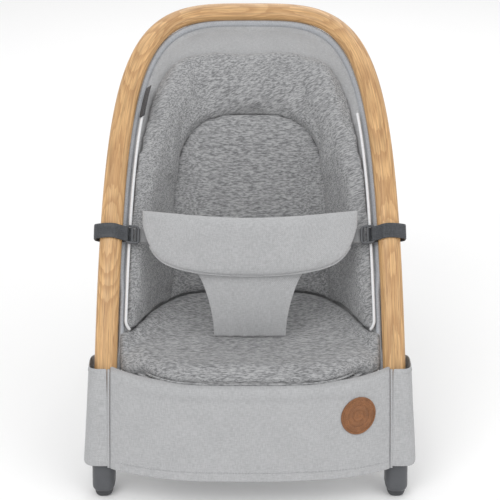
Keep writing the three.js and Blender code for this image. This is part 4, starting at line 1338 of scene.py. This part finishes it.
def sleeve_point(side):
    """The outer face of the cloth sleeve round one foot of the arch, open on its inner side."""
    def surface(u, v):
        z = lerp(HEM_Z + 3, SKIRT_TOP_Z + 3, v)
        front = seam_front(z) - 1.5
        back = lerp(57, Arch.profile(158)[0] + 17, v)
        half_wide = lerp(25, 18.8, v) - 0.6
        turn = math.radians(98) * u * side
        x = SLEEVE_X + half_wide * squared(math.cos(turn), 0.55)
        y = (front + back) / 2 + (back - front) / 2 * squared(math.sin(turn), 0.55)
        crumple = 0.7 * noise.noise(Vector((u * 2, z * 0.03, side * 3.1)))
        return spot(side * (x + crumple), y, z)
    return surface


class BOUNCER_OT_skirt(MakePiece, bpy.types.Operator):
    """Cut and sew the skirt over the front feet, with its leather badge"""

    bl_idname = "bouncer.skirt"
    bl_label = "Skirt"

    def make(self, scene):
        sizes = scene.bouncer_cloth
        flat, sleeve_flat = (0.385, 0.135), (0.118, 0.114)
        front = cloth_sheet("skirt_panel", lambda u, v: skirt_point(u, v * 1.11), 72, 44, flat,
                            sizes.thickness)
        finished(front, cloth_finish(), "seat_frame", "light_fabric", "skirt_front")

        stitches("skirt_hem_stitching", lambda k: self.on_skirt(lerp(-0.99, 0.99, k), 0.085),
                 lambda k: (0, -1, 0.2), 92)
        for hand, side in SIDES:
            around = sleeve_point(side)
            sleeve = cloth_sheet(f"skirt_sleeve_cloth_{hand}", around, 40, 26, sleeve_flat,
                                 sizes.thickness)
            finished(sleeve, cloth_finish(), "seat_frame", "light_fabric", f"skirt_sleeve_{hand}")

            def seam(k):
                z = lerp(HEM_Z + 1, SKIRT_TOP_Z + 2, k)
                return spot(side * (SEAM_X + 1.2), seam_front(z) - 0.2, z)

            joined = bar(f"skirt_seam_{hand}", along(seam, lambda k: (0, -1, 0), 0.02), 0.0016, steps=40,
                         sides=10, length=0.115)
            finished(joined, cloth_finish(), "seat_frame", "light_fabric")
            stitches(f"sleeve_top_stitching_{hand}",
                     lambda k: around(lerp(-0.85, 0.85, k), 0.95) + Vector((side, -0.6, 0)) * 0.2 * MM,
                     lambda k: (side * 0.6, -1, 0.2), 26)
        self.badge()

    def on_skirt(self, u, v, lift=0.0003):
        return skirt_point(u, v) + Vector((0, -lift, 0))

    def badge(self):
        """A round leather badge, pressed with plain rings, sewn on near the skirt's right side."""
        # radius and height: a rounded edge, a pressed ring, and two small rings in the middle
        rings = ((22.0, 0.2), (22.0, 1.3), (21.6, 1.75), (20.9, 1.9), (20.2, 1.9), (20.0, 1.45),
                 (19.2, 1.4), (19.0, 1.85), (13.2, 1.9), (13.0, 1.55), (12.5, 1.55), (12.3, 1.9),
                 (7.6, 1.9), (7.4, 1.5), (6.4, 1.5), (6.2, 1.9), (2.6, 1.9), (2.4, 1.5), (0, 1.5))
        bm = bmesh.new()
        turned(bm, rings, 72)
        # a circle of raised dots between the outer ring and the middle ones
        dots, dot_ring = 30, 16.2 * MM
        for i in range(dots):
            around = 2 * math.pi * i / dots
            dot = Matrix.Translation((dot_ring * math.cos(around), dot_ring * math.sin(around), 1.85 * MM))
            bmesh.ops.create_uvsphere(bm, u_segments=8, v_segments=5, radius=0.0007, matrix=dot)
        for v in bm.verts:
            x, y, h = v.co
            u = (BADGE_X * MM + x) / (SEAM_X * MM)
            w = (BADGE_Z * MM + y - HEM_Z * MM) / ((SKIRT_TOP_Z - HEM_Z) * MM)
            v.co = off(skirt_point, u, w, h)
        badge = new_piece("round_leather_badge", bm)
        finished(badge, leather_finish(), "seat_frame", "leather", "leather_badge")


# ------------------------------------------------------------------ waist restraint
FLAP_HALF = 138


def flap_point(u, v):
    """The back face of the waist flap: straight above, rounded below."""
    bottom = 262 + 18 * abs(u) ** 3.4 + 34 * abs(u) ** 13
    top = lerp(339, 329, u * u)
    z = lerp(bottom, top, v)
    lean = lerp(0.08, 0.5, u * u)
    y = lerp(117, 159, u * u) + (z - lerp(300, 314, u * u)) * lean
    return spot(u * FLAP_HALF, y, z)


STRAP_FOOT = (119, 172)     # y and z of its lower edge
STRAP_TOP_Z = 284
STRAP_FLARE = 102           # height over which it widens


def strap_point(u, v):
    """The face of the crotch strap, which widens to a funnel where it is sewn under the flap."""
    z = lerp(STRAP_FOOT[1], STRAP_TOP_Z, v)
    t = (z - STRAP_FOOT[1]) / STRAP_FLARE
    half = 47 + 27 * t ** 2 + 13 * min(t, 1.05) ** 12
    x = u * half
    wrap = 42 * (x / FLAP_HALF) ** 2 * min(v / 0.7, 1)
    y = STRAP_FOOT[0] - 3.2 * math.sin(math.pi * v) + 2.5 * v ** 3 - 1.5 + wrap
    # slack in the cloth gathers into a few soft folds near its foot
    low = (1 - clamp(v / 0.55)) ** 1.2
    folds = sum(size * hump(u + 0.10 * v * lean, where, 0.075) for where, size, lean in
                ((-0.17, 2.1, 2), (0.10, 1.4, -1), (-0.55, 1.2, 1), (0.48, 1.0, -2)))
    return spot(x, y - folds * low, z)


class BOUNCER_OT_restraint(MakePiece, bpy.types.Operator):
    """Sew the waist flap and the strap that runs down between the legs"""

    bl_idname = "bouncer.restraint"
    bl_label = "Waist Restraint"

    def make(self, scene):
        sizes = scene.bouncer_cloth
        swell = pad_height(8.5 * MM, 2.6 * MM, 5, 0.5)
        # each tuck's place across and up, its width, its height and its lean
        tucks = ((-0.55, 0.95, 0.030, 1.5, 0.25), (-0.40, 0.95, 0.035, 1.2, -0.35),
                 (0.46, 0.9, 0.035, 1.3, 0.3), (0.10, 0.1, 0.05, 0.8, 0.1),
                 (-0.15, 0.15, 0.05, 0.7, -0.2), (0.78, 0.6, 0.04, 0.8, 0.6),
                 (-0.80, 0.5, 0.04, 0.8, -0.5))

        def height(u, v):
            # small tucks fade away from the edge that they start at
            fold = sum(size * hump(u + lean * (v - where) * 0.3, middle, width) * hump(v, where, 0.28)
                       for middle, where, width, size, lean in tucks)
            ripple = 0.5 * noise.noise(Vector((u * 5, v * 2.0, 4.2)))
            return swell(u, v) + (fold + ripple) * MM * (1 - abs(u) ** 8)

        flap = pad("waist_flap_pad", flap_point, 0.0, height, 110, 36)
        subdivided(flap)
        finished(flap, cloth_finish_solid(), "restraint", "light_fabric", "waist_flap")

        strap = cloth_sheet("crotch_strap_cloth", strap_point, 56, 44, (0.130, 0.122),
                            1.5 * sizes.thickness)
        finished(strap, cloth_finish(), "restraint", "light_fabric", "crotch_strap")

        def lower_edge(k):
            u = lerp(-0.93, 0.93, k)
            return off(flap_point, u, 0.0, 2.2 * MM) + Vector((0, 0, -0.4 * MM))

        edge = bar("flap_edge_binding", along(lower_edge, lambda k: (0, -1, 0), 0.01), 0.0013, steps=140,
                   sides=10, length=length_of(lower_edge))
        finished(edge, cloth_finish(), "restraint", "light_fabric")


# ------------------------------------------------------------------ belts
class BOUNCER_OT_belts(MakePiece, bpy.types.Operator):
    """Loop the webbing round the arch and thread it through the buckles"""

    bl_idname = "bouncer.belts"
    bl_label = "Belts and Buckles"

    def make(self, scene):
        half = Arch.half_width(BELT_AT)
        for hand, side in SIDES:
            def at_belt(x, front, up=0.0, side=side):
                sag = lerp(9, 0, clamp((x - FLAP_HALF) / (half - FLAP_HALF)))
                return Arch.beside(side, BELT_AT, x, up, front) - Vector((0, sag * MM, 0))

            rise = (at_belt(half, 0, 1) - at_belt(half, 0, 0)).normalized()
            front = (at_belt(half, 1) - at_belt(half, 0)).normalized()
            self.loop(hand, half, at_belt, rise)
            self.buckle(hand, at_belt, rise, front)
            self.tab(hand, at_belt, rise)

    def loop(self, hand, half, at_belt, rise):
        # from the buckle, over the front of the wood, round outside it and back behind
        points = ((158.4, -0.6), (159.0, 1.9), (163.0, 2.6), (168.5, 7.0), (half - 6, 11.4),
                  (half + 4, 11.6), (half + 13, 9.6), (half + 20.6, 5.6), (half + 21.6, 0.5),
                  (half + 20.0, -5.2), (half + 12, -10.4), (half + 2, -11.8), (half - 8, -11.2),
                  (169, -7.4), (164.4, -4.2), (159.0, -3.6), (152.4, -3.4))

        def path(k):
            return at_belt(*spline(points, k))

        def facing(k):
            return rise.cross(path(min(k + 0.01, 1)) - path(max(k - 0.01, 0)))

        frames = along(path, facing, 0.008)

        def upright(k):
            here = frames(k)
            return Frame(here.point, rise, here.normal)

        belt = bar(f"webbing_loop_{hand}", upright, BELT_HALF_WIDE * MM, 0.85 * MM, steps=120,
                   sides=16, square=0.35, length=length_of(path))
        subdivided(belt)
        finished(belt, webbing_finish(), "seat_frame", "webbing", f"arch_loop_{hand}")

    def buckle(self, hand, at_belt, rise, front):
        bm = bmesh.new()
        wide, high = BUCKLE_WIDE / 2 - 1.5, BUCKLE_HIGH / 2 - 1.4      # to the middle of its frame

        def rim(k):
            turn = 2 * math.pi * k
            return at_belt(BUCKLE_X + wide * squared(math.cos(turn), 0.32), 0,
                           high * squared(math.sin(turn), 0.32))

        def around(k):
            step = 0.004
            tangent = (rim(k + step) - rim(k - step)).normalized()
            return Frame(rim(k), tangent.cross(front), front)

        swept(bm, around, lambda k: (1.5 * MM, 2.0 * MM), 72, sides=12, square=0.7, closed=True)
        for x, thick in ((BUCKLE_X, 1.3), (BUCKLE_X - 4.6, 0.7), (BUCKLE_X + 6.3, 1.0)):
            def post(k, x=x):
                return at_belt(x, 0.5, lerp(-high, high, k))

            def upright(k, post=post):
                return Frame(post(k), rise.cross(front), front)

            swept(bm, upright, lambda k, thick=thick: (thick * MM, 1.3 * MM), 8, sides=12, square=0.7)
        buckle = new_piece(f"ladder_buckle_{hand}", bm)
        finished(buckle, plastic_finish(), "restraint", "dark_plastic", f"buckle_{hand}")

    def tab(self, hand, at_belt, rise):
        points = ((129, -0.4), (136, -0.8), (141.5, -1.8), (145.2, -2.8), (147.6, -3.0), (148.6, -3.5),
                  (147.4, -4.2), (144.5, -4.2), (139, -2.6), (130, -2.2))

        def path(k):
            return at_belt(*spline(points, k))

        frames = along(path, lambda k: rise.cross(path(min(k + 0.02, 1)) - path(max(k - 0.02, 0))), 0.02)

        def upright(k):
            here = frames(k)
            return Frame(here.point, rise, here.normal)

        tape = bar(f"belt_tape_{hand}", upright, TAPE_HALF_WIDE * MM, 0.55 * MM, steps=44,
                   sides=12, square=0.4, length=length_of(path))
        finished(tape, tab_finish(), "restraint", "webbing", f"belt_tab_{hand}")


# ------------------------------------------------------------------ studio and panel
class BOUNCER_OT_stage(MakePiece, bpy.types.Operator):
    """Set the plain floor, the soft studio light and the camera"""

    bl_idname = "bouncer.stage"
    bl_label = "Studio"

    def make(self, scene):
        studio = scene.bouncer_studio
        bm = bmesh.new()
        bmesh.ops.create_grid(bm, x_segments=2, y_segments=2, size=6)
        floor = new_piece("studio_floor", bm, smooth=False)
        floor.data.materials.append(floor_finish())

        camera = bpy.data.objects.new("studio_camera", bpy.data.cameras.new("studio_camera"))
        scene.collection.objects.link(camera)
        rise = studio.camera_elevation
        away = Vector((0, -math.cos(rise), math.sin(rise)))
        camera.location = Vector(CAMERA_AIM) + away * studio.camera_distance
        camera.rotation_euler = (math.pi / 2 - rise, 0, 0)
        camera.data.lens = studio.lens
        camera.data.sensor_width = 36
        scene.camera = camera

        lamps = (("key_light", (-0.9, -1.7, 2.1), 1.0, 1.6), ("fill_light", (1.6, -1.3, 1.5), 0.5, 1.8),
                 ("back_light", (0.2, 1.7, 1.9), 0.7, 1.6))
        for name, place, share, size in lamps:
            light = bpy.data.lights.new(name, "AREA")
            light.energy = studio.key_power * share
            light.size = size
            lamp = bpy.data.objects.new(name, light)
            lamp.location = place
            lamp.rotation_euler = (Vector((0, 0, 0.2)) - lamp.location).to_track_quat("-Z", "Y").to_euler()
            scene.collection.objects.link(lamp)

        world = bpy.data.worlds.new("studio_world")
        world.use_nodes = True
        background = world.node_tree.nodes["Background"]
        background.inputs["Color"].default_value = (1, 1, 1, 1)
        background.inputs["Strength"].default_value = studio.sky
        scene.world = world
        scene.view_settings.view_transform = "Standard"


class BOUNCER_PT_panel(bpy.types.Panel):
    """Lists the parts of the bouncer seat"""

    bl_idname = "BOUNCER_PT_panel"
    bl_label = "Bouncer Seat"
    bl_space_type = "VIEW_3D"
    bl_region_type = "UI"
    bl_category = "Bouncer"

    def draw(self, context):
        scene = context.scene
        for group_name, _ in GROUPS:
            group = getattr(scene, group_name)
            box = self.layout.box()
            for name in group.bl_rna.properties.keys():
                if name not in ("rna_type", "name"):
                    box.prop(group, name)
        for maker in MAKERS:
            self.layout.operator(maker.bl_idname)


MAKERS = (
    BOUNCER_OT_arch, BOUNCER_OT_feet, BOUNCER_OT_rails, BOUNCER_OT_rear_leg, BOUNCER_OT_hinges,
    BOUNCER_OT_seat_cloth, BOUNCER_OT_inlay, BOUNCER_OT_skirt, BOUNCER_OT_restraint, BOUNCER_OT_belts,
    BOUNCER_OT_stage,
)
GROUPS = (
    ("bouncer_frame", BouncerFrameSizes), ("bouncer_cloth", BouncerClothSizes),
    ("bouncer_colours", BouncerColours), ("bouncer_studio", BouncerStudio),
)


def register():
    for name, group in GROUPS:
        bpy.utils.register_class(group)
        setattr(bpy.types.Scene, name, PointerProperty(type=group))
    for maker in MAKERS:
        bpy.utils.register_class(maker)
    bpy.utils.register_class(BOUNCER_PT_panel)


def unregister():
    bpy.utils.unregister_class(BOUNCER_PT_panel)
    for maker in reversed(MAKERS):
        bpy.utils.unregister_class(maker)
    for name, group in reversed(GROUPS):
        delattr(bpy.types.Scene, name)
        bpy.utils.unregister_class(group)


def main():
    register()
    build_groups()
    for maker in MAKERS:
        group, name = maker.bl_idname.split(".")
        getattr(getattr(bpy.ops, group), name)()


if __name__ == "__main__":
    main()
